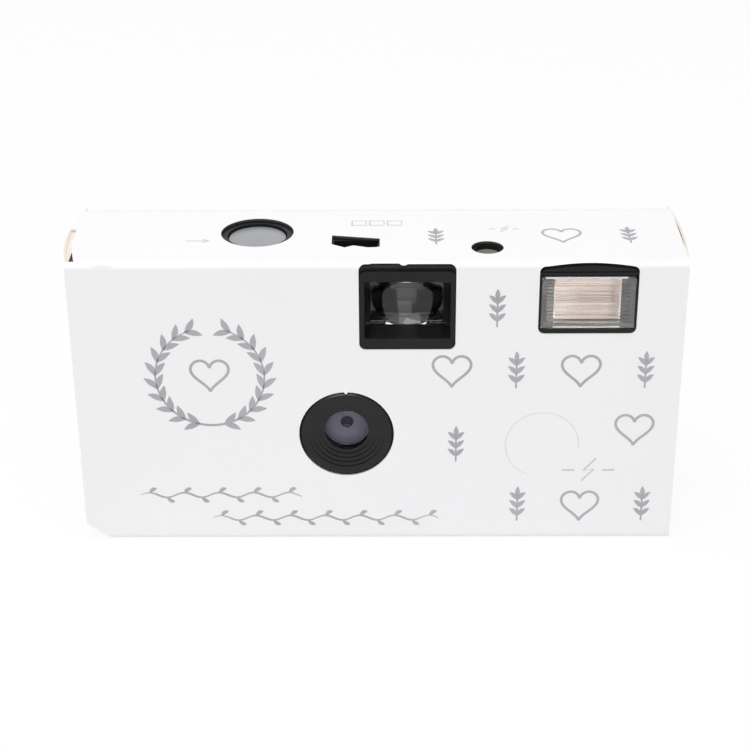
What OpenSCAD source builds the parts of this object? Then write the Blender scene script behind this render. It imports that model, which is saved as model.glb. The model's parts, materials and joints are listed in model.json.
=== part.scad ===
/* [Carton] */
// Width of the carton across the front folds
carton_w = 118; // [117:0.5:124]
// Depth of the carton
carton_d = 30; // [30:0.25:33]
// Height of the carton
carton_h = 61; // [61:0.5:66]
// Thickness of the folded board
board_t = 0.5; // [0.35:0.05:0.6]
// Outer radius of the tight folds
front_fold_r = 1.2; // [1:0.1:2]
// Outer radius of the soft fold at the top rear
back_fold_r = 4; // [3:0.25:5]
// Width of the slanted lower left corner
slant_w = 5.5; // [4:0.1:6]
// Height of the slanted lower left corner
slant_h = 3.6; // [3:0.1:4]
// How far the left end flap bows outwards
left_bow = 1.6; // [0.8:0.1:2.5]
// How far the right end flap bows outwards
right_bow = 0.9; // [0.8:0.1:2.5]
// Clearance between the board and the covers
carton_gap = 0.1; // [0.1:0.05:0.3]

/* [Covers] */
// Wall of the two plastic covers
cover_t = 1.2; // [1:0.1:1.3]
// Depth of the rear cover
rear_cover_depth = 5.9; // [5.5:0.1:6.5]
// Height of the lap joint between the covers
lap_h = 1.2; // [0.8:0.1:1.5]
// Clearance in the lap joint
lap_gap = 0.1; // [0.05:0.05:0.2]

/* [Taking lens] */
// Sideways place of the lens axis
lens_x = -6.1; // [-6.5:0.1:-5.5]
// Height of the lens axis
lens_height = 24.25; // [24.25:0.25:25]
// Radius of the front flange of the lens ring
ring_r = 9.1; // [8.8:0.1:9.6]
// Radius of the taking lens
lens_r = 4.6; // [4:0.1:5]
// Thickness of the taking lens
lens_t = 1.6; // [1.4:0.1:1.7]
// Radius of the fixed aperture
aperture_r = 1.2; // [0.8:0.1:1.5]

/* [Film] */
// Width of the film strip
film_width = 35; // [34.5:0.1:35.2]
// Thickness of the film
film_t = 0.15; // [0.1:0.01:0.2]
// Width of the picture frame
frame_width = 36; // [34:0.5:36]
// Height of the picture frame
frame_height = 24; // [22:0.5:24.5]
// Distance between two perforations
perf_pitch = 4.75; // [4.7:0.01:4.8]
// Radius of the film cartridge
cartridge_radius = 12.5; // [12:0.1:12.6]
// Length of the film cartridge
cartridge_length = 44.5; // [43.5:0.1:44.8]
// Radius of the unexposed film roll
roll_radius = 8.9; // [7:0.1:8.9]

/* [Viewfinder] */
// Sideways place of the viewfinder axis
finder_x = 5.85; // [5.7:0.05:6.2]
// Width of the viewfinder window in the carton
finder_cut_w = 18.5; // [18:0.1:18.6]
// Height of the viewfinder window in the carton
finder_cut_h = 17.5; // [17:0.1:17.9]
// Width of the funnel mouth
finder_w = 16.5; // [15.5:0.1:16.6]
// Height of the funnel mouth
finder_h = 11.9; // [11:0.1:12.2]
// Width of the strip above the funnel mouth
finder_drop = 3.25; // [3:0.05:3.5]
// How far each side of the funnel draws in
finder_taper = 1.2; // [0.6:0.1:1.5]
// Width of the eyepiece
eyepiece_w = 8.6; // [8:0.1:11]
// Height of the eyepiece
eyepiece_h = 8.5; // [7.5:0.1:8.6]

/* [Flash] */
// Distance of the flash window's middle from the right edge
flash_in = 18.75; // [18:0.05:19.5]
// Width of the flash opening in the carton
flash_cut_w = 18.8; // [18.5:0.1:19.5]
// Height of the flash opening in the carton
flash_cut_h = 14.2; // [13.6:0.1:14.6]
// Width of the clear flash window
flash_w = 17.8; // [17:0.1:18]
// Height of the clear flash window
flash_h = 10.25; // [9.6:0.05:10.4]
// Width of the black strip above the clear flash window
flash_drop = 2.8; // [2.6:0.1:3]
// Number of ribs moulded across the flash window
flash_ribs = 11; // [6:1:14]

/* [Controls] */
// Distance of the shutter button from the left edge
button_in = 35.65; // [35.4:0.05:35.9]
// Distance of the shutter button in front of the sprocket axis
button_ahead = 6; // [5.75:0.05:6.25]
// Radius of the shutter button
button_r = 5.55; // [5:0.05:5.6]
// Radius of the hole around the shutter button in the carton
button_hole_r = 7.1; // [6.5:0.1:7.5]
// Travel of the shutter button
button_travel = 1.2; // [0.8:0.1:1.2]
// Width of the counter window in the carton
counter_w = 9.3; // [8.5:0.1:9.4]
// Depth of the counter window in the carton
counter_d = 5; // [4:0.1:5.2]
// Radius of the ready light hole in the carton
ready_r = 3.1; // [2.9:0.1:3.6]
// Radius of the die-cut flash tab
tab_r = 7.16; // [6.8:0.02:7.3]
// Width of the die-cut line
tab_cut = 0.15; // [0.1:0.05:0.25]

/* [Drive] */
// Height of the thumbwheel
wheel_height = 4.8; // [4:0.1:4.8]
// How far the thumbwheel stands proud of the carton
wheel_proud = 0.6; // [0.3:0.1:0.7]
// Number of grip notches around the thumbwheel
wheel_notches = 48; // [24:1:60]
// Number of teeth on the counter gear
counter_teeth = 28; // [20:1:32]

/* [Power] */
// Radius of the battery
battery_radius = 5.25; // [5:0.05:5.25]
// Length of the battery with its button
battery_length = 44.5; // [43:0.1:44.6]
// Radius of the flash capacitor
capacitor_radius = 5.25; // [4.5:0.05:5.3]
// Length of the flash capacitor
capacitor_length = 28; // [22:0.5:29]

/* [Hidden] */
$fn = 64;
lens_fn = 240;
eps = 0.01;

// Clearances
run_gap = 0.06;
part_gap = 0.3;
seat_gap = 0.1;

// How far the inside shrinks in a carton that is too small for the full film size
full_w = 118;
full_d = 30;
full_h = 61;
wall_w = 14;
wall_d = 12.2;
wall_h = 16.5;
fit = min(1, (carton_w - wall_w)/(full_w - wall_w), (carton_d - wall_d)/(full_d - wall_d),
  (carton_h - wall_h)/(full_h - wall_h));
film_w = fit*film_width;
frame_w = fit*frame_width;
frame_h = fit*frame_height;
cartridge_r = fit*cartridge_radius;
cartridge_h = fit*cartridge_length;
roll_r = fit*roll_radius;
battery_r = fit*battery_radius;
battery_h = fit*battery_length;
capacitor_r = fit*capacitor_radius;
capacitor_h = fit*capacitor_length;
wheel_h = fit*wheel_height;
lens_z = lens_height - (cartridge_length - cartridge_h)/2;

// Carton faces and cover faces
front = -carton_d/2;
back = carton_d/2;
left = -carton_w/2;
right = carton_w/2;
top = carton_h;
shell_in = board_t + carton_gap;
shell_front = front + shell_in;
shell_back = back - shell_in;
shell_left = left + shell_in;
shell_right = right - shell_in;
shell_bottom = shell_in;
shell_top = top - shell_in;
in_front = shell_front + cover_t;
in_back = shell_back - cover_t;
in_left = shell_left + cover_t;
in_right = shell_right - cover_t;
in_bottom = shell_bottom + cover_t;
in_top = shell_top - cover_t;
split_y = shell_back - rear_cover_depth;
slant_len = norm([slant_w, slant_h]);
gape_w = 1.7;
gape_h = 1.6;
gape_y = 2;
proud = 0.1;
thin_wall = 0.6;
finder_cut_z = shell_top - finder_cut_h;
finder_z = shell_top - finder_drop - finder_h;
flash_x = right - flash_in;
flash_cut_z = shell_top - flash_cut_h;
flash_z = shell_top - flash_drop - flash_h;
cut_r = 1.2;
bezel_gap = 0.15;
scrap_r = 1.4;
die_slack = 0.25;
fold_cut = 1;
finder_rise = 0.25;
arch_r = 61;
arch_rise = 0.35;
arch_side = 0.2;
arch_gap = 0.5;
finder_brow = 2.1;
brow_step = 0.9;
brow_groove = 1.4;
brow_line = 0.2;

// Film path
film_back_gap = 0.55;
film_front = in_back - film_back_gap - film_t;
film_lo = lens_z - film_w/2;
film_hi = lens_z + film_w/2;
gate_t = 1.2;
gate_gap = 0.2;
gate_back = film_front - gate_gap;
gate_front = gate_back - gate_t;
gate_rim = 2.3;
gate_right = lens_x + frame_w/2 + gate_rim;
perf_w = 2;
perf_h = 2.8;
perf_edge = 2;

// Cartridge, spool axis and thumbwheel
spool_y = shell_back - thin_wall - part_gap - cartridge_r;
wheel_r = back + wheel_proud - spool_y;
wheel_side_gap = 1.3;
spool_x = in_left + wheel_side_gap + wheel_r;
cart_lo = lens_z - cartridge_h/2;
cart_hi = cart_lo + cartridge_h;
cap_t = 1;
shell_sheet = 0.3;
spool_core_r = 5.6;
spool_knob_r = 4.2;
chamber_t = 1;
chamber_r = cartridge_r + part_gap;
gate_left = spool_x + chamber_r;
lid_lo = cart_hi + 0.4;
lid_t = 1;
wheel_lo = lid_lo + lid_t + part_gap;
wheel_hi = wheel_lo + wheel_h;
wheel_pin_r = 1.5;
wheel_slot_w = 25;
wheel_gap = 0.2;
slot_r = 1.5;
lip_t = 0.4;
lip_len = 10;

// Supply roll
supply_wall = 0.8;
supply_r = roll_r + 0.7;
supply_x = gate_right + supply_wall + supply_r;
supply_y = film_front - seat_gap - seat_gap - roll_r;
supply_core_r = 4.5;

// Floor, deck and lens board of the chassis
floor_t = 1.2;
floor_lo = in_bottom + 0.2;
floor_hi = floor_lo + floor_t;
deck_lo = film_hi + 1.25;
deck_hi = deck_lo + 1.2;
board_back = front + 7.8;
board_front = board_back - 1.2;
chassis_right = in_right - part_gap;
lens_board_half = 11;
cone_w = 8;
cone_h = 6;
cone_wall = 1;
cone_bite = 0.2;

// Lens stack, from the lens board forwards
blade_t = 0.15;
blade_front = board_front - 0.5;
plate_back = board_front - 1;
plate_front = plate_back - 1.2;
lens_back = plate_front - 0.2;
lens_seat = lens_back - lens_t - seat_gap;
barrel_r = ring_r - 0.9;
blade_x = lens_x + 5.1;
blade_z = lens_z + 8.75;
blade_leaf_r = 3;
blade_pin_r = 0.8;
tab_lo = blade_z + 4;
tab_hi = blade_z + 7;

// Levels of the mechanism above the deck
gear_lo = deck_hi + 0.8;
gear_hi = gear_lo + 1.2;
plate_lo = wheel_hi + 0.4;
plate_hi = plate_lo + 1;
meter_lo = plate_lo - 4.8;
meter_hi = meter_lo + 1.6;
strike_lo = plate_lo - 2.4;
strike_hi = plate_lo - 0.4;
dial_lo = plate_hi + 1;
dial_hi = dial_lo + 1;

// Sprocket, with one turn a picture, and counter
sprocket_teeth = 8;
sprocket_pitch_r = sprocket_teeth*perf_pitch/(2*PI);
sprocket_tip_r = sprocket_pitch_r + 0.15;
sprocket_root_r = sprocket_pitch_r - 0.85;
sprocket_x = gate_left + 7.5;
sprocket_y = film_front - 0.15 - sprocket_tip_r;
sprocket_mid = film_hi - perf_edge;
sprocket_half = 1;
sprocket_lo = sprocket_mid - sprocket_half - 0.4;
sprocket_hi = sprocket_mid + sprocket_half + 0.4;
shelf_t = 1.2;
shaft_r = 1.5;
cam_r = 4.4;
dial_y = sprocket_y - 9.65;
dial_r = 6.5;
dial_hub_r = 1.9;
dial_post_r = 1;
gear_r = 7.2;
driver_r = 6.14;
gear_span = gear_r + driver_r + 0.2;
dial_x = sprocket_x + sqrt(pow(gear_span, 2) - pow(sprocket_y - dial_y, 2));
counter_x = dial_x + 7.45;
counter_y = dial_y - 1.4;
counter_skew = 0.4;
counter_inset = 0.4;

// Levers
striker_x = sprocket_x + 8;
striker_y = gate_front - 4.1;
striker_knee = [lens_x + 0.1, striker_y - 4];
striker_half = 0.8;
striker_leg = [lens_x + 0.8, board_front - 1.6];
striker_leg_lo = tab_lo;
lever_post_r = 1.2;
lever_hub_r = 2.1;
meter_x = sprocket_x + 4;
meter_y = sprocket_y - 12.15;
meter_half = 0.9;
button_x = left + button_in;
button_y = sprocket_y - button_ahead;
meter_aim = atan2(meter_y - spool_y, meter_x - spool_x);
meter_tip = [spool_x + (wheel_r + part_gap + meter_half)*cos(meter_aim - 2),
             spool_y + (wheel_r + part_gap + meter_half)*sin(meter_aim - 2)];
meter_slope = (meter_tip[1] - meter_y)/(meter_tip[0] - meter_x);
meter_edge = meter_y + (button_x - meter_x)*meter_slope + meter_half*sqrt(1 + meter_slope*meter_slope);

// Shutter button
button_top = shell_top;
button_bore_gap = 0.3;
flange_r = button_r + 0.85;
flange_hi = in_top - part_gap;
flange_lo = flange_hi - 0.9;
stem_w = 2;
stem_d = 2;
wedge_slope = 0.69;
wedge_gap = 0.35;
stem_lo = meter_lo - 0.4;
spring_at = [button_x, button_y + 2.5];
button_spring_r = 2.1;

// Plate posts
post_r = 1.1;
peg_r = 0.7;
peg_proud = 0.3;
plate_posts = [[sprocket_x - 6.8, gate_front - 0.2], [sprocket_x - 5.6, sprocket_y - 13.55]];
plate_pegs = concat(plate_posts, [[striker_x, striker_y]]);

// Viewfinder
finder_wall = 0.8;
finder_left = finder_x - finder_cut_w/2 - 0.5;
finder_right = finder_x + finder_cut_w/2 - 0.1;
funnel_back = front + 6.1;
objective_t = 3.9;
tunnel_front = funnel_back + objective_t + part_gap + seat_gap;
tunnel_back = in_back - 1.6;
tunnel_top = in_top - 0.2;
optic_lo = deck_hi + part_gap;
optic_hi = tunnel_top - finder_wall - 0.2;
sill_rise = 0.1;
dish_r = 7;
dish_depth = 3;
dish_ball = (dish_r*dish_r + dish_depth*dish_depth)/(2*dish_depth);
dish_z = finder_z + finder_h/2 + 0.5;
eyepiece_z = finder_z + 0.6;

// Flash unit
window_front = front + 0.1;
window_t = 2.2;
rib_h = 0.35;
reflector_r = 4.5;
reflector_t = 0.3;
reflector_z = flash_z + flash_h/2 + 0.1;
reflector_y = window_front + window_t + 0.3 + 2.8;
reflector_w = flash_w - 5;
tube_r = 1.5;
tube_y = reflector_y + 1.8;
tube_len = reflector_w + 3.4;
bracket_front = reflector_y + reflector_r + reflector_t + part_gap;
pcb_front = board_front - 0.2;
pcb_t = 1.2;
pcb_back = pcb_front + pcb_t;
pcb_left = supply_x - 9;
pcb_right = in_right - 0.4;
pcb_lo = floor_hi + part_gap;
pcb_hi = deck_lo - 0.4;
leaf_y = pcb_front - 1;
pcb_peg_r = 1;
pcb_pegs = [lens_z - 10, lens_z + 12];
battery_x = in_right - 0.95 - battery_r;
battery_y = in_back - 0.75 - battery_r;
battery_lo = floor_hi + 1.2;
cradle_r = battery_r + 0.2;
cradle_t = 0.6;
contact_t = 0.4;
capacitor_x = supply_x + supply_r + supply_wall + 0.6 + capacitor_r;
capacitor_y = pcb_back + 0.4 + capacitor_r;
coil_r = 2.4;
ready_x = flash_x - 19;
ready_y = front + 7.4;
guide_r = 2.4;
guide_lo = in_top - 2.4;
lamp_r = 1.6;

// Flash tab: centre, uncut chord and key
tab_x = right - 26.5;
tab_z = lens_z - 2.5;
chord_from = -109;
chord_to = -6;
chord_mid = (chord_from + chord_to)/2;
chord_far = tab_r*cos((chord_to - chord_from)/2);
key_r = 5.2;
key_hole_r = tab_r + 0.5;
key_step = front + 2.6;
key_back = leaf_y - 0.8;

// Helpers for places and outlines
function fold(r, i) = max(0.25, r - i);
function on_circle(r, a) = [r*cos(a), r*sin(a)];
function unit(v) = v/norm(v);

module block(lo, hi) {
  translate(lo) cube(hi - lo);
}

module along_x(x0, x1) {
  translate([x0, 0, 0]) rotate([90, 0, 90]) linear_extrude(height = x1 - x0) children();
}

module along_y(y0, y1) {
  translate([0, y1, 0]) rotate([90, 0, 0]) linear_extrude(height = y1 - y0) children();
}

module along_z(z0, z1) {
  translate([0, 0, z0]) linear_extrude(height = z1 - z0) children();
}

module rod_x(y, z, r, x0, x1) {
  translate([x0, y, z]) rotate([0, 90, 0]) cylinder(r = r, h = x1 - x0);
}

module rod_y(x, z, r, y0, y1) {
  translate([x, y1, z]) rotate([90, 0, 0]) cylinder(r = r, h = y1 - y0);
}

module rod_z(x, y, r, z0, z1) {
  translate([x, y, z0]) cylinder(r = r, h = z1 - z0);
}

// Rectangle with its own radius at each corner, from lower left round to upper left
module round_rect(lo, hi, r) {
  c = [[lo[0] + r[0], lo[1] + r[0]], [hi[0] - r[1], lo[1] + r[1]],
       [hi[0] - r[2], hi[1] - r[2]], [lo[0] + r[3], hi[1] - r[3]]];
  polygon([[lo[0], c[0][1]], [c[0][0], lo[1]], [c[1][0], lo[1]], [hi[0], c[1][1]],
           [hi[0], c[2][1]], [c[2][0], hi[1]], [c[3][0], hi[1]], [lo[0], c[3][1]]]);
  for (i = [0:3]) translate(c[i]) circle(r = r[i]);
}

module even_rect(lo, hi, r) {
  round_rect(lo, hi, [r, r, r, r]);
}

// Flat bar with round ends between two points, its sides a hair inside the rounds so that they cross
module bar(p, q, half) {
  side = half - 0.02;
  translate(p) rotate(atan2(q[1] - p[1], q[0] - p[0])) translate([0, -side]) square([norm(q - p), 2*side]);
  translate(p) circle(r = half);
  translate(q) circle(r = half);
}

// Gear outline with straight flanks
module gear(teeth, tip_r, depth) {
  step = 360/teeth;
  polygon([for (i = [0:teeth - 1]) for (k = [0:3])
    on_circle(k == 0 || k == 3 ? tip_r - depth : tip_r, i*step + step*[0.08, 0.3, 0.5, 0.72][k])]);
}

// Round wire swept along points, with six sides
module wire(points, r) {
  sides = 6;
  n = len(points);
  rings = [for (i = [0:n - 1])
    let (t = unit(points[min(i + 1, n - 1)] - points[max(i - 1, 0)]),
         a = unit(cross(t, [0.02, 0.03, 1])),
         b = cross(t, a))
    for (k = [0:sides - 1]) points[i] + r*(cos(k*360/sides)*a + sin(k*360/sides)*b)];
  sleeve = [for (i = [0:n - 2]) for (k = [0:sides - 1])
    let (p = i*sides + k, q = i*sides + (k + 1)%sides)
    each [[p, p + sides, q], [q, p + sides, q + sides]]];
  lid0 = [for (k = [1:sides - 2]) [0, k, k + 1]];
  lid1 = [for (k = [1:sides - 2]) [(n - 1)*sides, (n - 1)*sides + k + 1, (n - 1)*sides + k]];
  polyhedron(points = rings, faces = concat(sleeve, lid0, lid1));
}

// Points of a helix around the Z axis, eight to a turn
function helix(r, z0, z1, turns) = [for (i = [0:8*turns])
  [r*cos(i*45), r*sin(i*45), z0 + (z1 - z0)*i/(8*turns)]];

// Outline of the carton seen from the front, drawn in by i, and by s at the slanted corner
module outline(i, s) {
  lo_x = left + i;
  reach = slant_w*slant_h + s*slant_len;
  polygon([[lo_x, (reach - slant_h*i)/slant_w], [left + (reach - slant_w*i)/slant_h, i],
           [right - i, i], [right - i, top - i], [lo_x, top - i]]);
}

// Folded box drawn in by i from the outside of the board, and by s at the slanted corner
module folded_box(i, s) {
  f = fold(front_fold_r, i);
  intersection() {
    along_x(left + i, right - i)
      round_rect([front + i, i], [back - i, top - i], [f, f, fold(back_fold_r, i), f]);
    along_y(front - 1, back + 1) outline(i, s);
  }
}

function bow_r(bow) = (pow(carton_d/2 - front_fold_r, 2) + bow*bow)/(2*bow);

// Open corner where the top panel falls short of the bowed left flap
module gape() {
  polygon([[left - 2*left_bow, front + front_fold_r], [left + gape_w, front + front_fold_r],
           [left - left_bow, gape_y], [left - 2*left_bow, gape_y]]);
}

// Panels drawn out to the bowed left flap behind the open corner
module left_bulge() {
  f = fold(front_fold_r, board_t);
  intersection() {
    difference() {
      along_x(left - left_bow, left + board_t) round_rect([front, 0], [back, top],
        [front_fold_r, front_fold_r, back_fold_r, front_fold_r]);
      along_x(left - 2*left_bow, left + 1) round_rect([front + board_t, board_t],
        [back - board_t, top - board_t], [f, f, fold(back_fold_r, board_t), f]);
    }
    along_z(slant_h + 1, top + 1) difference() {
      translate([left - left_bow + bow_r(left_bow), 0])
        circle(r = bow_r(left_bow) - board_t/2, $fn = lens_fn);
      translate([left - left_bow, front - 1]) square([2*left_bow, gape_y + 1 - front]);
    }
  }
}

// Strip of the dust flap that shows in the open corner
module dust_flap() {
  along_z(shell_top - board_t, shell_top) intersection() {
    translate([left - left_bow + bow_r(left_bow), 0])
      circle(r = bow_r(left_bow) - board_t/2, $fn = lens_fn);
    square_at([left - 2*left_bow, front + front_fold_r], [shell_left - carton_gap, gape_y + 1]);
  }
}

// Bowed end flap of the carton, folded on at the front edge
module end_flap(side, bow) {
  half = carton_d/2 - front_fold_r;
  r = bow_r(bow);
  flip = side < 0 ? 0 : 1;
  mirror([flip, 0, 0]) along_z(slant_h + 1, top - 0.4) intersection() {
    translate([left - bow + r, 0]) difference() {
      circle(r = r, $fn = lens_fn);
      circle(r = r - board_t, $fn = lens_fn);
    }
    translate([left - 2*bow, -half - board_t]) square([2*bow + board_t/2, 2*half + 2*board_t]);
  }
}

// Disc about the flash tab's middle, cut off straight along its uncut chord
module tab_disc(r, far) {
  translate([tab_x, tab_z]) difference() {
    circle(r = r);
    rotate(chord_mid) translate([far, -2*tab_r]) square([2*tab_r, 4*tab_r]);
  }
}

// Viewfinder window of the carton, torn a little higher on the left, with a scrap left hanging there
module finder_hole() {
  lo = [finder_x - finder_cut_w/2, finder_cut_z];
  hi = [finder_x + finder_cut_w/2, shell_top + finder_rise];
  difference() {
    union() {
      even_rect(lo, hi, cut_r);
      polygon([[lo[0] + cut_r, shell_top], [lo[0] + 2*cut_r, hi[1] + finder_rise/2],
               [finder_x - scrap_r, hi[1] + finder_rise/2], [finder_x, shell_top]]);
    }
    translate([finder_x - scrap_r/2, hi[1] + 0.85*scrap_r]) circle(r = scrap_r);
  }
}

// Outline of the flash opening, drawn in by i, with its arched top lowered by g
module flash_arch(i, g) {
  lo = [flash_x - flash_cut_w/2 + i, flash_cut_z + i];
  hi = [flash_x + flash_cut_w/2 - i, shell_top - arch_side - g];
  even_rect(lo, hi, cut_r);
  intersection() {
    translate([flash_x + arch_side, shell_top + arch_rise - g - arch_r]) circle(r = arch_r, $fn = lens_fn);
    square_at([lo[0] + cut_r - arch_side, hi[1] - cut_r], [hi[0] - cut_r + arch_side, hi[1] + cut_r]);
  }
}

module wheel_slot(grow) {
  even_rect([spool_x - wheel_slot_w/2 - grow, wheel_lo - 2*part_gap - grow],
            [spool_x + wheel_slot_w/2 + grow, wheel_hi + 2*part_gap + grow], slot_r + grow);
}

// Counter window of the carton, cut a little askew
module counter_hole() {
  half = [counter_w/2, counter_d/2];
  near = -half[1];
  translate([counter_x, counter_y])
    polygon([[-half[0], near + 4*counter_skew], [-0.45*half[0], near],
             [-0.1*half[0], near + 2.5*counter_skew], [0.5*half[0], near],
             [0.85*half[0], near + 0.3*counter_skew], [half[0], near + counter_skew],
             [half[0], half[1] - 1.6*counter_skew], [-half[0], half[1] + 2.5*counter_skew]]);
}

module eyepiece_hole(grow) {
  even_rect([finder_x - eyepiece_w/2 - grow, eyepiece_z - grow],
            [finder_x + eyepiece_w/2 + grow, eyepiece_z + eyepiece_h + grow], 1 + grow);
}

// Carton of white board with its die-cut windows
module carton() {
  color("white") difference() {
    union() {
      difference() {
        folded_box(0, 0);
        folded_box(board_t, board_t);
        along_z(top - gape_h, top + 1) gape();
      }
      left_bulge();
      dust_flap();
      end_flap(-1, left_bow);
      end_flap(1, right_bow);
    }
    rod_y(lens_x, lens_z, ring_r + die_slack, front - 1, in_front);
    along_y(front - 1, front + fold_cut) finder_hole();
    along_y(front - 1, front + fold_cut) flash_arch(0, 0);
    along_y(front - 1, in_front) tab_disc(tab_r + tab_cut, chord_far + tab_cut);
    rod_z(button_x, button_y, button_hole_r, in_top, top + 1);
    rod_z(ready_x, ready_y, ready_r, in_top, top + 1);
    along_z(in_top, top + 1) counter_hole();
    along_y(in_back, back + 1) wheel_slot(1);
    along_y(in_back, back + 1) eyepiece_hole(1);
  }
}

// Die-cut tab over the flash key, hinged on its uncut chord
module flash_tab() {
  color("whitesmoke") along_y(front, front + board_t) tab_disc(tab_r, chord_far);
}

// Key behind the tab, with the nub that closes the switch
module flash_key() {
  color("black") {
    along_y(front + board_t, key_step) tab_disc(key_r, chord_far - part_gap);
    rod_y(tab_x, tab_z, key_r/3, key_step - eps, key_back);
  }
}

// Front cover: a deep tub with the finder funnel and the flash bezel
module front_cover() {
  finder_lo = [finder_x - finder_cut_w/2 + bezel_gap, finder_cut_z + bezel_gap];
  finder_hi = [finder_x + finder_cut_w/2 - bezel_gap, finder_z + finder_h + finder_brow];
  color("#1a1a1b") difference() {
    union() {
      cover_tub();
      along_y(front - proud, in_front) even_rect(finder_lo, finder_hi, cut_r);
      along_y(front - proud, in_front) flash_arch(bezel_gap, arch_gap);
      block([finder_x - finder_w/2 - 1, in_front - eps, finder_z - 0.5],
            [finder_x + finder_w/2 + 1, funnel_back, finder_z + finder_h + 1]);
    }
    finder_funnel();
    along_y(front - 1, in_front + 1)
      square_at([flash_x - flash_w/2 - seat_gap, flash_z - seat_gap],
                [flash_x + flash_w/2 + seat_gap, flash_z + flash_h + seat_gap]);
    flash_brow_cuts();
    rod_y(lens_x, lens_z, barrel_r + seat_gap, front - 1, in_front + 1);
    rod_y(tab_x, tab_z, key_hole_r, front - 1, in_front + 1);
    rod_z(button_x, button_y, button_r + button_bore_gap, in_top - 1, top);
    rod_z(ready_x, ready_y, guide_r + seat_gap, in_top - 1, top);
    counter_opening();
    rod_z(spool_x, spool_y, wheel_r + wheel_gap, wheel_lo - 2*wheel_gap, wheel_hi + 2*wheel_gap);
  }
}

module cover_tub() {
  difference() {
    intersection() {
      folded_box(shell_in, shell_in);
      block([left, front, 0], [right, split_y, top]);
    }
    folded_box(shell_in + cover_t, shell_in + thin_wall);
  }
  difference() {
    intersection() {
      folded_box(shell_in, shell_in);
      block([left, split_y - eps, 0], [right, split_y + lap_h, top]);
    }
    folded_box(shell_in + cover_t/2, shell_in + thin_wall/2);
  }
}

module finder_funnel() {
  throat_w = finder_w - 2*finder_taper;
  throat_h = finder_h - 0.5 - sill_rise;
  hull() {
    translate([finder_x - finder_w/2, front - proud - eps, finder_z]) cube([finder_w, eps, finder_h]);
    translate([finder_x - throat_w/2, funnel_back, finder_z + sill_rise]) cube([throat_w, eps, throat_h]);
  }
}

// Thin groove and wide step across the strip above the flash window
module flash_brow_cuts() {
  face = front - proud;
  step_z = flash_z + flash_h;
  groove_z = step_z + brow_groove;
  block([flash_x - flash_cut_w, front - 1, step_z],
        [flash_x + flash_cut_w, face + brow_step, step_z + brow_step]);
  block([flash_x - flash_cut_w, front - 1, groove_z],
        [flash_x + flash_cut_w, face + 2*brow_line, groove_z + brow_line]);
}

module counter_opening() {
  half = [counter_w/2 - counter_inset, counter_d/2 - counter_inset];
  block([counter_x - half[0], counter_y - half[1], in_top - 1],
        [counter_x + half[0], counter_y + half[1], top]);
}

// Rear cover: a shallow lid with the eyepiece hole, the wheel slot and two film rails
module rear_cover() {
  color("#1e1e1f") difference() {
    union() {
      difference() {
        intersection() {
          folded_box(shell_in, shell_in);
          block([left, split_y + lap_gap, 0], [right, back, top]);
        }
        folded_box(shell_in + cover_t, shell_in + thin_wall);
      }
      for (z = [film_lo + 1, film_hi - 1])
        block([gate_left, in_back - film_back_gap + seat_gap, z - 0.8], [gate_right, in_back + eps, z + 0.8]);
    }
    difference() {
      block([left, split_y, 0], [right, split_y + lap_h + lap_gap, top]);
      folded_box(shell_in + cover_t/2 + lap_gap, shell_in + thin_wall/2 + lap_gap);
    }
    along_y(in_back - 1, back) eyepiece_hole(0);
    along_y(in_back - 1, back) wheel_slot(0);
    rod_z(spool_x, spool_y, chamber_r, in_bottom, lid_lo + lid_t + part_gap);
    rod_z(spool_x, spool_y, wheel_r + wheel_gap, wheel_lo - 2*wheel_gap, wheel_hi + 2*wheel_gap);
  }
}

// Chassis: film gate, light tunnel, film chambers, deck and posts
module chassis() {
  color("#2a2a2c") difference() {
    union() {
      chassis_plates();
      light_cone(cone_wall);
      cartridge_chamber();
      supply_chamber();
      battery_cradle();
      chassis_posts();
      finder_tunnel();
      flash_bracket();
    }
    along_y(gate_front - 1, gate_back + 1)
      square_at([lens_x - frame_w/2, lens_z - frame_h/2], [lens_x + frame_w/2, lens_z + frame_h/2]);
    light_cone(0);
    rod_y(lens_x, lens_z, aperture_r + 1.2, board_front - 1, board_back + 1);
    rod_z(sprocket_x, sprocket_y, sprocket_tip_r + part_gap, sprocket_lo, sprocket_hi);
    rod_z(sprocket_x, sprocket_y, shaft_r + run_gap, deck_lo - 9, deck_hi + 1);
    rod_z(supply_x, supply_y, shaft_r + run_gap, floor_lo - 1, deck_hi + 1);
  }
}

module square_at(lo, hi) {
  translate(lo) square(hi - lo);
}

module chassis_plates() {
  block([gate_left, gate_front, floor_lo], [gate_right + eps, gate_back, deck_hi]);
  block([gate_left, board_front, deck_lo], [supply_x + supply_r + supply_wall, gate_back, deck_hi]);
  block([supply_x, board_front, deck_lo], [chassis_right, battery_y - cradle_r - cradle_t + 0.3, deck_hi]);
  block([gate_left, board_front, floor_lo], [chassis_right, gate_back, floor_hi]);
  block([lens_x - lens_board_half, board_front, floor_lo], [lens_x + lens_board_half, board_back, deck_hi]);
  block([sprocket_x - 2*shaft_r, sprocket_y - 2*shaft_r, sprocket_lo - shelf_t],
        [sprocket_x + 2*shaft_r, gate_back, sprocket_lo]);
}

// Cone from the lens board to the picture frame, with its sides moved out by grow
module light_cone(grow) {
  hull() {
    translate([lens_x - cone_w/2 - grow, board_back - cone_bite, lens_z - cone_h/2 - grow])
      cube([cone_w + 2*grow, eps, cone_h + 2*grow]);
    translate([lens_x - frame_w/2 - grow, gate_front + cone_bite, lens_z - frame_h/2 - grow])
      cube([frame_w + 2*grow, eps, frame_h + 2*grow]);
  }
}

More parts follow.
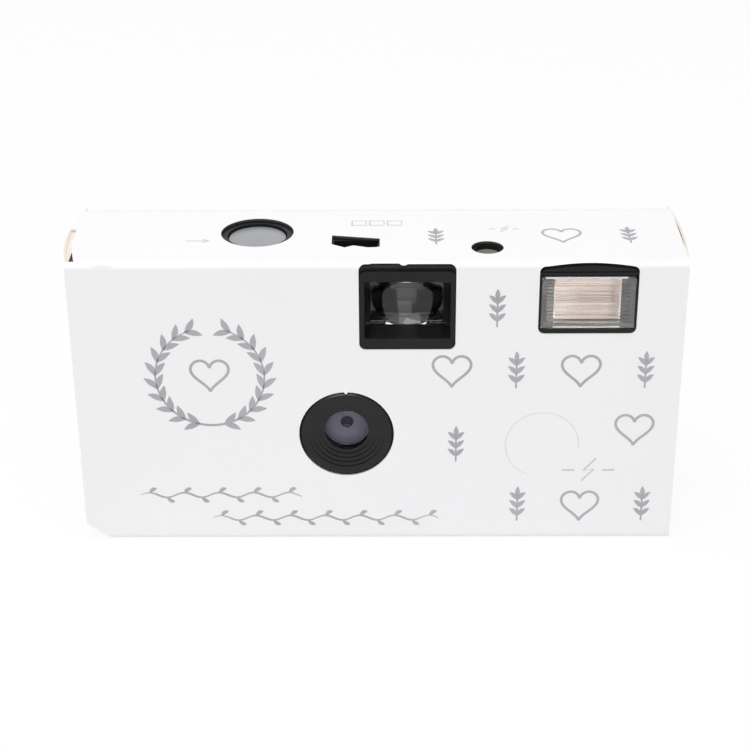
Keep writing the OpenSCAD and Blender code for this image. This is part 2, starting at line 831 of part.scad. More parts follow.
module cartridge_chamber() {
  wall_r = chamber_r + chamber_t;
  difference() {
    intersection() {
      union() {
        rod_z(spool_x, spool_y, wall_r, floor_lo, lid_lo + lid_t);
        block([spool_x, spool_y - 3, floor_lo], [spool_x + wall_r, gate_back, lid_lo + lid_t]);
      }
      along_y(front, gate_back) outline(shell_in + cover_t, shell_in + thin_wall + part_gap);
    }
    rod_z(spool_x, spool_y, chamber_r, floor_lo - 1, lid_lo);
    block([spool_x - wall_r - 1, spool_y, floor_lo - 1], [spool_x + chamber_r, back, lid_lo]);
    block([spool_x - wall_r - 1, spool_y + 6, lid_lo - 1], [spool_x + wall_r + 1, back, lid_lo + lid_t + 1]);
    rod_z(spool_x, spool_y, spool_knob_r + part_gap, lid_lo - 1, lid_lo + lid_t + 1);
  }
}

module supply_chamber() {
  wall_r = supply_r + supply_wall;
  difference() {
    union() {
      rod_z(supply_x, supply_y, wall_r, floor_lo, deck_hi);
      block([supply_x - wall_r, supply_y, floor_lo], [supply_x + wall_r, gate_back, deck_hi]);
    }
    rod_z(supply_x, supply_y, supply_r, floor_hi, deck_lo);
    block([supply_x - supply_r, supply_y, floor_hi], [supply_x + supply_r, back, deck_lo]);
    block([supply_x - 2*wall_r, gate_back, floor_lo - 1], [supply_x + 2*wall_r, back, deck_hi + 1]);
  }
  for (z = pcb_pegs) rod_y(supply_x, z, pcb_peg_r, pcb_front - 0.4, supply_y - supply_r - 0.3);
}

module battery_cradle() {
  top_z = battery_lo + battery_h + contact_t + seat_gap;
  difference() {
    union() {
      rod_z(battery_x, battery_y, cradle_r + cradle_t, floor_lo, top_z + 1);
      block([battery_x - 1, battery_y - cradle_r - cradle_t - 0.3, deck_lo],
            [battery_x + 1, battery_y - cradle_r, deck_hi]);
    }
    rod_z(battery_x, battery_y, cradle_r, floor_hi, top_z);
    block([battery_x - 2*battery_r, battery_y, floor_hi], [battery_x + 2*battery_r, in_back, top_z]);
    block([battery_x - 2*battery_r, battery_y + 4, floor_lo - 1], [battery_x + 2*battery_r, back, top_z + 2]);
  }
}

module chassis_posts() {
  for (p = plate_posts) rod_z(p[0], p[1], post_r, deck_hi - eps, plate_lo);
  rod_z(striker_x, striker_y, lever_post_r, deck_hi - eps, plate_lo);
  for (p = plate_pegs) rod_z(p[0], p[1], peg_r, plate_lo - eps, plate_hi + peg_proud);
  rod_z(dial_x, dial_y, dial_post_r, deck_hi - eps, dial_hi);
  rod_y(blade_x, blade_z, blade_pin_r, blade_front - 0.4, board_front + eps);
}

module finder_tunnel() {
  difference() {
    block([finder_left, tunnel_front, deck_hi - eps], [finder_right, tunnel_back, tunnel_top]);
    block([finder_left + finder_wall, tunnel_front - 1, deck_hi],
          [finder_right - finder_wall, tunnel_back + 1, tunnel_top - finder_wall]);
  }
}

module flash_bracket() {
  foot_hi = reflector_z - reflector_r - reflector_t - part_gap;
  foot_half = 6;
  bracket_back = bracket_front + 1;
  block([flash_x - foot_half, bracket_front - 4, deck_hi - eps],
        [flash_x + foot_half, bracket_back, foot_hi]);
  block([flash_x - reflector_w/2, bracket_front, deck_hi - eps],
        [flash_x + reflector_w/2, bracket_back, reflector_z + reflector_r]);
}

// Plate that holds the levers down on their posts
module mechanism_plate() {
  plate_left = spool_x - 4;
  plate_right = dial_x + 3.5;
  rim = 2;
  plate_knee = plate_posts[1][0] - rim;
  plate_near = plate_posts[1][1] - rim;
  hub_slot = dial_hub_r + part_gap;
  color("silver") {
    difference() {
      along_z(plate_lo, plate_hi) polygon([[plate_left, spool_y - 2*wheel_pin_r], [plate_knee, plate_near],
        [plate_right, plate_near], [plate_right, striker_y + 2.5],
        [plate_posts[0][0] - rim, plate_posts[0][1] + rim - 0.6], [plate_left, spool_y + 2*wheel_pin_r]]);
      for (p = plate_pegs) rod_z(p[0], p[1], peg_r + seat_gap, plate_lo - 1, plate_hi + 1);
      rod_z(spool_x, spool_y, wheel_pin_r + run_gap, plate_lo - 1, plate_hi + 1);
      rod_z(sprocket_x, sprocket_y, shaft_r + run_gap, plate_lo - 1, plate_hi + 1);
      rod_z(dial_x, dial_y, hub_slot, plate_lo - 1, plate_hi + 1);
      block([dial_x - hub_slot, front, plate_lo - 1], [dial_x + hub_slot, dial_y, plate_hi + 1]);
      block([button_x - stem_w/2 - part_gap, meter_edge - 0.9, plate_lo - 1],
            [button_x + stem_w/2 + part_gap, meter_edge + wedge_gap + stem_d + 1, plate_hi + 1]);
    }
    rod_z(meter_x, meter_y, lever_post_r, meter_lo - 0.2, plate_lo + eps);
    rod_z(spring_at[0], spring_at[1], button_spring_r - 0.8, plate_hi - eps, plate_hi + 0.8);
  }
}

// Stepped ring around the lens, turned about the lens axis
module lens_ring() {
  ring_front = front - proud;
  steps = 5;
  mouth_r = ring_r - 1;
  throat_r = lens_r - 0.25;
  throat_y = lens_seat - 0.6;
  step_r = (mouth_r - throat_r)/steps;
  step_y = (throat_y - ring_front)/steps;
  flange_back = shell_front - seat_gap;
  tread_fall = 0.1;
  bevel = 0.4;
  stairs = [for (i = [1:steps]) let (r = mouth_r - i*step_r, y = ring_front + i*step_y)
    each [[r, y - step_y + tread_fall], [r, y]]];
  color("black") translate([lens_x, 0, lens_z]) rotate([-90, 0, 0]) rotate_extrude() polygon(concat(
    [[mouth_r, ring_front]], stairs,
    [[throat_r, lens_seat], [lens_r + seat_gap, lens_seat], [lens_r + seat_gap, lens_back],
     [barrel_r, lens_back], [barrel_r, flange_back], [ring_r, flange_back],
     [ring_r, ring_front + bevel], [ring_r - bevel, ring_front]]));
}

// Meniscus lens
module taking_lens() {
  front_ball = 9;
  back_ball = 16;
  color("lightcyan") translate([lens_x, lens_back, lens_z]) rotate([90, 0, 0]) difference() {
    intersection() {
      cylinder(r = lens_r, h = lens_t);
      translate([0, 0, lens_t - front_ball]) sphere(r = front_ball, $fn = lens_fn);
    }
    translate([0, 0, 0.3 - back_ball]) sphere(r = back_ball, $fn = lens_fn);
  }
}

// Plate behind the lens with the fixed aperture and four feet on the lens board
module lens_plate() {
  lo = [lens_x - 10.4, lens_z - 10.7];
  hi = [lens_x + 10.3, tab_lo - 0.5];
  color("#303032") difference() {
    union() {
      along_y(plate_front, plate_back) even_rect(lo, hi, 1);
      for (x = [lo[0] + 1.2, hi[0] - 1.2]) for (z = [lo[1] + 1.2, hi[1] - 1.2])
        rod_y(x, z, 0.9, plate_back - eps, board_front);
    }
    rod_y(lens_x, lens_z, aperture_r, plate_front - 1, plate_back + 1);
    translate([lens_x, plate_front, lens_z]) rotate([-90, 0, 0])
      cylinder(r1 = lens_r - 0.8, r2 = aperture_r, h = 0.9);
  }
}

// Thin leaf over the aperture with a bent tab at its top
module shutter_blade() {
  tab_x0 = lens_x + 2;
  tab_x1 = lens_x + 3.6;
  color("#55555a") difference() {
    union() {
      along_y(blade_front, blade_front + blade_t) union() {
        translate([lens_x, lens_z]) circle(r = blade_leaf_r);
        bar([lens_x, lens_z], [blade_x, blade_z], 1.6);
        translate([blade_x, blade_z]) circle(r = 2.2);
        bar([blade_x, blade_z], [(tab_x0 + tab_x1)/2, tab_hi - 0.8], 0.8);
      }
      block([tab_x0, blade_front - 1.6, tab_lo + 0.4],
            [tab_x0 + blade_t, blade_front + blade_t, tab_hi - 0.6]);
    }
    rod_y(blade_x, blade_z, blade_pin_r + run_gap, blade_front - 2, blade_front + 1);
  }
}

// Hairpin spring on the blade pin
module blade_spring() {
  wire_r = 0.08;
  coil = blade_pin_r + 0.25;
  points = concat([[0, -5, 0], [coil, -2, 0]], helix(coil, 0, 0.25, 2), [[coil + 0.1, 2, 0.25]]);
  color("silver") translate([blade_x, blade_front - 0.15, blade_z]) rotate([90, 0, 0]) wire(points, wire_r);
}

// Lever that strikes the blade, with its long leg in front of the lens board
module striker_lever() {
  leg_half = 0.9;
  color("#3a3a3d") difference() {
    union() {
      along_z(strike_lo, strike_hi) union() {
        translate([striker_x, striker_y]) circle(r = lever_hub_r);
        bar([striker_x, striker_y], striker_knee, striker_half);
        bar(striker_knee, striker_leg, striker_half);
        bar([striker_x, striker_y], [striker_x - 2.6, striker_y], striker_half);
      }
      block([striker_leg[0] - leg_half, striker_leg[1] - 0.5, striker_leg_lo],
            [striker_leg[0] + leg_half, striker_leg[1] + 0.5, strike_lo + eps]);
    }
    rod_z(striker_x, striker_y, lever_post_r + run_gap, strike_lo - 1, strike_hi + 1);
  }
}

// Torsion spring under the striker hub
module striker_spring() {
  coil = lever_post_r + 0.5;
  points = concat([[coil, -7, 0]], helix(coil, 0, 1.6, 3), [[coil, 6, 1.6]]);
  color("silver") translate([striker_x, striker_y, strike_lo - 2]) wire(points, 0.2);
}

// Lever that locks the thumbwheel until the button frees it
module metering_lever() {
  color("#46464a") difference() {
    along_z(meter_lo, meter_hi) union() {
      translate([meter_x, meter_y]) circle(r = lever_hub_r);
      bar([meter_x, meter_y], meter_tip, meter_half);
    }
    rod_z(meter_x, meter_y, lever_post_r + run_gap, meter_lo - 1, meter_hi + 1);
  }
}

// Torsion spring above the metering lever hub
module metering_spring() {
  coil = lever_post_r + 0.5;
  points = concat([[coil, -3, 0]], helix(coil, 0, 1.6, 3), [[coil, 3, 1.6]]);
  color("silver") translate([meter_x, meter_y, meter_hi + 0.5]) wire(points, 0.2);
}

// Shutter button with its domed top, flange and wedge stem
module shutter_button() {
  dome = 0.5;
  ball = (button_r*button_r + dome*dome)/(2*dome);
  stem_front = meter_edge + wedge_gap;
  wedge_end = stem_front - wedge_slope*button_travel;
  color("#a9abad") {
    translate([button_x, button_y, 0]) {
      rod_z(0, 0, flange_r, flange_lo, flange_hi);
      intersection() {
        rod_z(0, 0, button_r, flange_hi - eps, button_top);
        translate([0, 0, button_top - ball]) sphere(r = ball, $fn = lens_fn);
      }
    }
    along_x(button_x - stem_w/2, button_x + stem_w/2) polygon([
      [stem_front + wedge_slope*(meter_hi - stem_lo), stem_lo], [stem_front + stem_d, stem_lo],
      [stem_front + stem_d, flange_lo + eps], [wedge_end, flange_lo + eps],
      [wedge_end, meter_hi + button_travel]]);
  }
}

// Coil spring between the mechanism plate and the button flange
module button_spring() {
  color("silver") translate([spring_at[0], spring_at[1], 0])
    wire(helix(button_spring_r, plate_hi + 0.3, flange_lo - 0.3, 4), 0.2);
}

// Sprocket, counter driver and cams on one shaft
module film_sprocket() {
  color("#d8d8d4") translate([sprocket_x, sprocket_y, 0]) {
    rod_z(0, 0, shaft_r, sprocket_lo - shelf_t + 0.2, plate_hi - 0.2);
    along_z(sprocket_mid - sprocket_half, sprocket_mid + sprocket_half) union() {
      circle(r = sprocket_root_r);
      for (i = [0:sprocket_teeth - 1]) rotate(i*360/sprocket_teeth)
        polygon([[sprocket_root_r - 0.5, -0.8], [sprocket_tip_r - 0.1, -0.4], [sprocket_tip_r - 0.1, 0.4],
                 [sprocket_root_r - 0.5, 0.8]]);
    }
    along_z(gear_lo, gear_hi) union() {
      circle(r = driver_r - 2);
      polygon([[driver_r - 2.5, -0.9], [driver_r - 0.1, -0.3], [driver_r - 0.1, 0.3], [driver_r - 2.5, 0.9]]);
    }
    along_z(meter_lo - 0.4, meter_hi) difference() {
      circle(r = cam_r);
      translate([cam_r, 0]) circle(r = 1.2);
    }
  }
}

// Counter dial: gear below the plate, disc under the window
module counter_dial() {
  color("#1c1c1e") translate([dial_x, dial_y, 0]) difference() {
    union() {
      along_z(gear_lo, gear_hi) gear(counter_teeth, gear_r, 0.7);
      rod_z(0, 0, dial_hub_r, gear_hi - eps, dial_lo + eps);
      rod_z(0, 0, dial_r, dial_lo, dial_hi);
    }
    rod_z(0, 0, dial_post_r + run_gap, gear_lo - 1, dial_hi + 1);
  }
}

// Clear window over the counter dial, lapped under the cover
module counter_window() {
  lap = 0.6;
  pane = 0.8;
  half = counter_d/2 + lap;
  color("gainsboro") block([counter_x - counter_w/2 - lap, counter_y - half, in_top - seat_gap - pane],
    [min(counter_x + counter_w/2 + lap, finder_left - part_gap), counter_y + half, in_top - seat_gap]);
}

// Thumbwheel with grip notches and the fork that turns the spool
module thumbwheel() {
  notch_r = 0.55;
  color("#222224") translate([spool_x, spool_y, 0]) {
    difference() {
      rod_z(0, 0, wheel_r, wheel_lo, wheel_hi);
      for (i = [0:wheel_notches - 1]) rotate(i*360/wheel_notches)
        rod_z(wheel_r + 0.1, 0, notch_r, wheel_lo - 1, wheel_hi + 1);
      difference() {
        rod_z(0, 0, wheel_r - 2, wheel_hi - 1.6, wheel_hi + 1);
        rod_z(0, 0, 4, wheel_hi - 2, wheel_hi + 2);
      }
    }
    rod_z(0, 0, wheel_pin_r, wheel_hi - eps, plate_hi - 0.2);
    rod_z(0, 0, spool_knob_r - 0.2, cart_hi + seat_gap, wheel_lo + eps);
  }
}

// Sheet metal shell of the cartridge with its felt lips
module cartridge_shell() {
  lo = cart_lo + cap_t + 0.05;
  hi = cart_hi - cap_t - 0.05;
  slot_lo = film_front - 0.15;
  slot_hi = film_front + film_t + 0.15;
  color("#6f7f52") difference() {
    union() {
      rod_z(spool_x, spool_y, cartridge_r - 0.1, lo, hi);
      block([spool_x + 2, slot_lo - lip_t, lo], [spool_x + lip_len, slot_hi + lip_t, hi]);
    }
    rod_z(spool_x, spool_y, cartridge_r - 0.1 - shell_sheet, lo - 1, hi + 1);
    block([spool_x, slot_lo, lo - 1], [spool_x + lip_len + 1, slot_hi, hi + 1]);
  }
}

// End caps of the cartridge
module cartridge_caps() {
  color("#2b2b2b") for (z = [cart_lo, cart_hi - cap_t]) difference() {
    rod_z(spool_x, spool_y, cartridge_r, z, z + cap_t);
    rod_z(spool_x, spool_y, spool_knob_r + part_gap, z - 1, z + cap_t + 1);
  }
}

// Spool inside the cartridge
module cartridge_spool() {
  color("#1f1f1f") translate([spool_x, spool_y, 0]) {
    rod_z(0, 0, spool_core_r, cart_lo + cap_t + part_gap, cart_hi - cap_t - part_gap);
    rod_z(0, 0, spool_knob_r, cart_lo + 0.2, cart_lo + cap_t + part_gap + eps);
    rod_z(0, 0, spool_knob_r, cart_hi - cap_t - part_gap - eps, cart_hi);
  }
}

// Film across the gate, perforated along both edges
module film_strip() {
  from = spool_x + 4;
  to = supply_x;
  count = floor((to - from - perf_w)/perf_pitch);
  color("#4a3b32") along_y(film_front, film_front + film_t) difference() {
    square_at([from, film_lo], [to, film_hi]);
    for (i = [0:count]) for (z = [film_lo + perf_edge, film_hi - perf_edge])
      translate([from + 1.5 + i*perf_pitch - perf_w/2, z - perf_h/2]) square([perf_w, perf_h]);
  }
}

// Unexposed film wound on the supply spool
module film_roll() {
  color("#54443a") difference() {
    rod_z(supply_x, supply_y, roll_r, film_lo, film_hi);
    rod_z(supply_x, supply_y, supply_core_r + 0.05, film_lo - 1, film_hi + 1);
  }
}

// Supply spool between the floor and the deck
module supply_spool() {
  color("#e0e0dc") {
    rod_z(supply_x, supply_y, supply_core_r, film_lo - 0.6, film_hi + 0.6);
    rod_z(supply_x, supply_y, roll_r, film_lo - 1.4, film_lo - 0.4);
    rod_z(supply_x, supply_y, shaft_r, floor_lo, film_lo);
    rod_z(supply_x, supply_y, shaft_r, film_hi, deck_hi);
  }
}

// Front viewfinder lens with a round dish in a square plate
module finder_objective() {
  lens_y = funnel_back + part_gap;
  ledge = 0.4;
  color("lightcyan") difference() {
    block([finder_left + finder_wall, lens_y, optic_lo],
          [finder_right - finder_wall, lens_y + objective_t, optic_hi]);
    translate([finder_x, lens_y + dish_depth - dish_ball, dish_z]) sphere(r = dish_ball, $fn = lens_fn);
    block([finder_left, lens_y - 1, finder_z + ledge], [finder_right, lens_y + ledge, finder_z + 2*ledge]);
  }
}

// Rear viewfinder lens
module finder_eyepiece() {
  lens_y = tunnel_back + seat_gap;
  pane = 0.6;
  crown = 0.6;
  mid = eyepiece_z + eyepiece_h/2;
  ball = (eyepiece_h*eyepiece_h/4 + crown*crown)/(2*crown);
  color("lightcyan") {
    block([finder_left + 2*seat_gap, lens_y, optic_lo], [finder_right - 2*seat_gap, lens_y + pane, optic_hi]);
    intersection() {
      rod_y(finder_x, mid, eyepiece_h/2 - 2*seat_gap, lens_y, lens_y + pane + crown);
      translate([finder_x, lens_y + pane + crown - ball, mid]) sphere(r = ball, $fn = lens_fn);
    }
  }
}

// Clear flash window with ribs moulded across it inside a plain frame
module flash_window() {
  rim = 1;
  rib_p = (flash_h - 2*rim)/flash_ribs;
  foot = flash_z + rim;
  head = flash_z + flash_h - rim;
  valley = window_front + rib_h;
  ribs = [for (i = [0:flash_ribs - 1]) each [
    [valley, foot + i*rib_p], [window_front + 0.05, foot + (i + 0.5)*rib_p]]];
  color("whitesmoke") difference() {
    block([flash_x - flash_w/2, window_front, flash_z],
          [flash_x + flash_w/2, window_front + window_t, flash_z + flash_h]);
    along_x(flash_x - flash_w/2 + rim, flash_x + flash_w/2 - rim) polygon(concat(
      [[window_front - 1, foot]], ribs, [[valley, head], [window_front - 1, head]]));
  }
}

// Bright trough behind the flash window
module flash_reflector() {
  lip = window_front + window_t + part_gap;
  half = reflector_w/2;
  color("silver") difference() {
    along_x(flash_x - half, flash_x + half) trough(reflector_r + reflector_t, lip);
    along_x(flash_x - half + reflector_t, flash_x + half - reflector_t) trough(reflector_r, lip - 1);
    block([flash_x - flash_w, lip - flash_h, reflector_z - flash_h],
          [flash_x + flash_w, lip, reflector_z + flash_h]);
    rod_x(tube_y, reflector_z, tube_r + 0.2, flash_x - flash_w, flash_x + flash_w);
  }
}

module trough(r, y) {
  translate([reflector_y, reflector_z]) circle(r = r);
  square_at([y, reflector_z - r], [reflector_y, reflector_z + r]);
}

// Glass flash tube with its metal ends
module flash_tube() {
  color("white") {
    rod_x(tube_y, reflector_z, tube_r, flash_x - tube_len/2, flash_x + tube_len/2);
    rod_x(tube_y, reflector_z, tube_r/2, flash_x - tube_len/2 - 1, flash_x + tube_len/2 + 1);
  }
}

// Circuit board of the flash
module flash_board() {
  color("darkgreen") difference() {
    block([pcb_left, pcb_front, pcb_lo], [pcb_right, pcb_back, pcb_hi]);
    for (z = pcb_pegs) rod_y(supply_x, z, pcb_peg_r + run_gap, pcb_front - 1, pcb_back + 1);
  }
}

// Resistors and a transistor on the front of the board
module board_parts() {
  sit = 0.9;
  color("tan") {
    for (i = [0:3]) rod_x(pcb_front - sit, pcb_lo + 5 + 2.6*i, 0.85, pcb_right - 14, pcb_right - 8);
    along_z(pcb_hi - 8, pcb_hi - 3) translate([pcb_right - 12, pcb_front]) difference() {
      translate([0, -seat_gap - 0.5]) circle(r = 2.2);
      translate([-3, -seat_gap]) square([6, 4]);
    }
  }
}

// Flash capacitor behind the board
module flash_capacitor() {
  lo = floor_hi + part_gap;
  color("#20242c") {
    rod_z(capacitor_x, capacitor_y, capacitor_r, lo, lo + capacitor_h);
    rod_z(capacitor_x, capacitor_y, capacitor_r - 0.8, lo + capacitor_h - eps, lo + capacitor_h + 0.4);
  }
}

// Step-up transformer behind the board
module transformer() {
  y0 = pcb_back + part_gap;
  x1 = pcb_right - 0.8;
  w = min(8, x1 - capacitor_x - capacitor_r - part_gap);
  d = 0.82*w;
  z0 = pcb_lo + 17;
  z1 = z0 + 8;
  cheek = 1.2;
  color("#c8a24a") {
    for (z = [z0, z1 - cheek]) block([x1 - w, y0, z], [x1, y0 + d, z + cheek]);
    rod_z(x1 - w/2, y0 + d/2, 0.375*w, z0 + cheek - eps, z1 - cheek + eps);
  }
}

// Trigger coil behind the board
module trigger_coil() {
  half = 4;
  color("#8a3b1e") rod_x(pcb_back + part_gap + coil_r, pcb_hi - coil_r - 0.4, coil_r,
    capacitor_x - half, capacitor_x + half);
}

// Ready lamp standing on two leads at the top edge of the board
module ready_lamp() {
  lead_x = 0.7;
  lamp_lo = guide_lo - 7;
  color("silver") {
    rod_z(ready_x, ready_y, lamp_r, lamp_lo, guide_lo - 1.6);
    translate([ready_x, ready_y, guide_lo - 1.6]) sphere(r = lamp_r);
    for (s = [-1, 1]) rod_z(ready_x + s*lead_x, ready_y, 0.25, deck_hi + 0.05, lamp_lo + eps);
  }
}

// Clear guide from the lamp to the top of the cover
module light_guide() {
  color("#8a8a8c") {
    rod_z(ready_x, ready_y, guide_r, guide_lo + 0.3, in_top + 0.4);
    rod_z(ready_x, ready_y, guide_r + 0.8, guide_lo + 0.3, guide_lo + 1);
  }
}

// Battery that feeds the flash
module battery() {
  button_h = 0.8;
  color("#b8862b") {
    rod_z(battery_x, battery_y, battery_r, battery_lo, battery_lo + battery_h - button_h);
    rod_z(battery_x, battery_y, 1.9, battery_lo + battery_h - button_h - eps, battery_lo + battery_h);
  }
}

// Spring plate over the battery button
module contact_plus() {
  z = battery_lo + battery_h + 0.05;
  color("gold") block([battery_x - 3, battery_y - 4, z], [battery_x + 3, battery_y + 3, z + contact_t]);
}

// Spring plate below the battery
module contact_minus() {
  half = 3.5;
  color("gold") {
    block([battery_x - half, battery_y - half, floor_hi],
          [battery_x + half, battery_y + half, floor_hi + contact_t]);
    rod_z(battery_x, battery_y, 2.2, floor_hi + contact_t - eps, battery_lo - 0.05);
  }
}

// Switch leaf on the board behind the flash key
module switch_leaf() {
  color("gold") {
    block([tab_x - 3.5, leaf_y, tab_z - 1.2], [tab_x + 4.5, leaf_y + 0.25, tab_z + 1.2]);
    block([tab_x + 4, leaf_y, tab_z - 1.2], [tab_x + 4.5, pcb_front, tab_z + 1.2]);
  }
}

// Sync contact beside the path of the blade tab
module sync_contact() {
  x0 = lens_x + 8.6;
  color("gold") {
    block([x0, board_front - 1.6, tab_lo], [x0 + 0.25, board_front, tab_hi]);
    block([x0, board_front - 0.25, tab_lo], [x0 + 2, board_front, tab_hi]);
  }
}

carton();
flash_tab();
flash_key();
front_cover();
rear_cover();
chassis();
mechanism_plate();
lens_ring();
taking_lens();
lens_plate();
shutter_blade();
blade_spring();
striker_lever();
striker_spring();
metering_lever();
metering_spring();
shutter_button();
button_spring();
film_sprocket();
counter_dial();
counter_window();
thumbwheel();
cartridge_shell();
cartridge_caps();
cartridge_spool();
film_strip();
film_roll();
supply_spool();
finder_objective();
finder_eyepiece();
flash_window();
flash_reflector();
flash_tube();
flash_board();
board_parts();
flash_capacitor();
transformer();
trigger_coil();
ready_lamp();
light_guide();
battery();
contact_plus();
contact_minus();
switch_leaf();
sync_contact();
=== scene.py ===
import json
import math
import bpy
from mathutils import Matrix, Vector


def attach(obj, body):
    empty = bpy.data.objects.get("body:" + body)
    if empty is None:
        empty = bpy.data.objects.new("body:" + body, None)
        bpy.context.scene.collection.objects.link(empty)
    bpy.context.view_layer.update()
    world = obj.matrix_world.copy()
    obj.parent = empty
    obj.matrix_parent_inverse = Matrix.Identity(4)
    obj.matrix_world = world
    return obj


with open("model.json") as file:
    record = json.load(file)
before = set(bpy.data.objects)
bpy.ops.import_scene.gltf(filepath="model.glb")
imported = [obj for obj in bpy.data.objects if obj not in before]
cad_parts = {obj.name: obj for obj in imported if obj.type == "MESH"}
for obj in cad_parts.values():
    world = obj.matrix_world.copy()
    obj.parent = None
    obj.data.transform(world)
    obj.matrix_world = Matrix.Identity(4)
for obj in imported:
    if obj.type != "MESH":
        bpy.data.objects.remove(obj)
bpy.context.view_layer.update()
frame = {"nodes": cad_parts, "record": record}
mm = 0.001
scene = bpy.context.scene
scene.view_settings.view_transform = "Standard"
print("frame loaded, nodes:", len(frame["nodes"]))


# camera, from the photo's vanishing lines and the carton's corners
cameraView = {"eye": (2.355, -331.83, 200.14), "down": 27.19, "turn": -0.50, "roll": -0.39,
              "focalPixels": 1836, "framePixels": 750}


def placeCamera(view):
    down, turn, roll = (math.radians(view[key]) for key in ("down", "turn", "roll"))
    ahead = Vector((math.sin(turn)*math.cos(down), math.cos(turn)*math.cos(down), -math.sin(down)))
    right = Vector((math.cos(turn), -math.sin(turn), 0))
    up = right.cross(ahead)
    across = right*math.cos(roll) + up*math.sin(roll)
    upright = up*math.cos(roll) - right*math.sin(roll)
    data = bpy.data.cameras.new("camera")
    data.sensor_width = 36
    data.lens = 36*view["focalPixels"]/view["framePixels"]
    data.clip_start, data.clip_end = 0.01, 20
    camera = bpy.data.objects.new("camera", data)
    turned = Matrix((across, upright, -ahead)).transposed().to_4x4()
    camera.matrix_world = Matrix.Translation(Vector(view["eye"])*mm) @ turned
    scene.collection.objects.link(camera)
    scene.camera = camera


placeCamera(cameraView)
print("camera placed")


def tint(hexColour):
    channels = [int(hexColour[i:i + 2], 16)/255 for i in (1, 3, 5)]
    return tuple(c/12.92 if c <= 0.04045 else ((c + 0.055)/1.055)**2.4 for c in channels) + (1.0,)


# how many times a pattern of this size in mm repeats in a metre
def repeats(size):
    return 1/(size*mm)


def addNode(tree, kind, values={}, links={}, **settings):
    node = tree.nodes.new("ShaderNode" + kind)
    for key, value in settings.items():
        setattr(node, key, value)
    for key, value in values.items():
        node.inputs[key].default_value = value
    for key, source in links.items():
        tree.links.new(source, node.inputs[key])
    return node


def startMaterial(name, values):
    material = bpy.data.materials.new(name)
    material.use_nodes = True
    shader = material.node_tree.nodes["Principled BSDF"]
    for key, value in values.items():
        shader.inputs[key].default_value = value
    return material, material.node_tree, shader


# studio: pale sweep that reads as white where nothing shades it, an overhead softbox and a weak front fill
studio = {"worldFill": 0.45, "keyWatts": 10.8, "keyAt": (-0.15, -0.3, 1.15), "keySize": 1.0,
          "fillWatts": 2.5, "fillAt": (0.15, -1.3, 0.6), "fillSize": 0.8, "aim": (0, 0, 0.03),
          "floorColour": "#f2f2f2", "floorRough": 0.9, "floorGlow": 0.9, "floorDrop": 0.05, "floorHalf": 14.0}


# 1 for rays that look at the set straight, by gloss or through glass
def seenRays(tree):
    path = addNode(tree, "LightPath")
    seen = path.outputs["Is Camera Ray"]
    for ray in ("Is Glossy Ray", "Is Transmission Ray"):
        seen = addNode(tree, "Math", links={0: seen, 1: path.outputs[ray]}, operation="MAXIMUM").outputs[0]
    return seen


def buildStudio(s):
    world = bpy.data.worlds.new("studio")
    scene.world = world
    world.use_nodes = True
    ground = world.node_tree.nodes["Background"]
    ground.inputs["Color"].default_value = (1, 1, 1, 1)
    # white for the lens, for gloss and for glass, while the light that falls on the part stays at the fill
    level = addNode(world.node_tree, "MapRange", values={"To Min": s["worldFill"], "To Max": 1.0},
                    links={"Value": seenRays(world.node_tree)})
    world.node_tree.links.new(level.outputs["Result"], ground.inputs["Strength"])

    for name in ("key", "fill"):
        data = bpy.data.lights.new(name + "Softbox", "AREA")
        data.energy, data.size = s[name + "Watts"], s[name + "Size"]
        lamp = bpy.data.objects.new(name + "Softbox", data)
        lamp.location = s[name + "At"]
        lamp.rotation_euler = (Vector(s["aim"]) - lamp.location).to_track_quat("-Z", "Y").to_euler()
        scene.collection.objects.link(lamp)

    half = s["floorHalf"]
    mesh = bpy.data.meshes.new("floor")
    mesh.from_pydata([(-half, -half, 0), (half, -half, 0), (half, half, 0), (-half, half, 0)], [], [(0, 1, 2, 3)])
    floor = bpy.data.objects.new("floor", mesh)
    floor.location.z = -s["floorDrop"]*mm
    scene.collection.objects.link(floor)
    # matt paper sweep: takes the soft shadow, and glows up to white for the lens, for gloss and for glass
    material, tree, shader = startMaterial("paper sweep, matt", {"Base Color": tint(s["floorColour"]),
                                                                 "Roughness": s["floorRough"]})
    share = addNode(tree, "MapRange", values={"To Max": s["floorGlow"]}, links={"Value": seenRays(tree)})
    glow = addNode(tree, "Emission", values={"Color": (1, 1, 1, 1), "Strength": 1.0})
    mix = addNode(tree, "MixShader", links={0: share.outputs["Result"], 1: shader.outputs[0], 2: glow.outputs[0]})
    tree.links.new(mix.outputs[0], tree.nodes["Material Output"].inputs["Surface"])
    mesh.materials.append(material)


buildStudio(studio)
print("studio lit")


# clay-coated carton board: smooth faintly mottled white face, cream fibres wherever it was cut or seen from inside
# the dark cut tone is painted shade on the edges of the holes in the top panel
board = {"face": "#f1f0f1", "faceShade": "#ecebed", "raw": "#ece5dd", "rawShade": "#e0d6cc", "cut": "#4d4946",
         "mottle": 30, "fibre": 0.35, "wobble": 22, "coat": 0.05, "halfDepth": 15, "height": 61, "halfWidth": 59,
         "foldRadii": (1.2, 4.0), "gloss": (0.5, 0.6), "rawRough": 0.9, "thick": 0.6, "cutReach": 56.5, "outward": 0.45,
         "waves": (0.25, 0.25), "nap": (0.12, 0.03),
         # the dent tone is painted shade of a thumb dent on the front fold, in the colour alone
         "dentShade": {"at": (-52.0, -14.7, 60.4), "reach": (3.2, 0.9, 0.5), "shade": "#d2d1d4", "share": 0.6}}


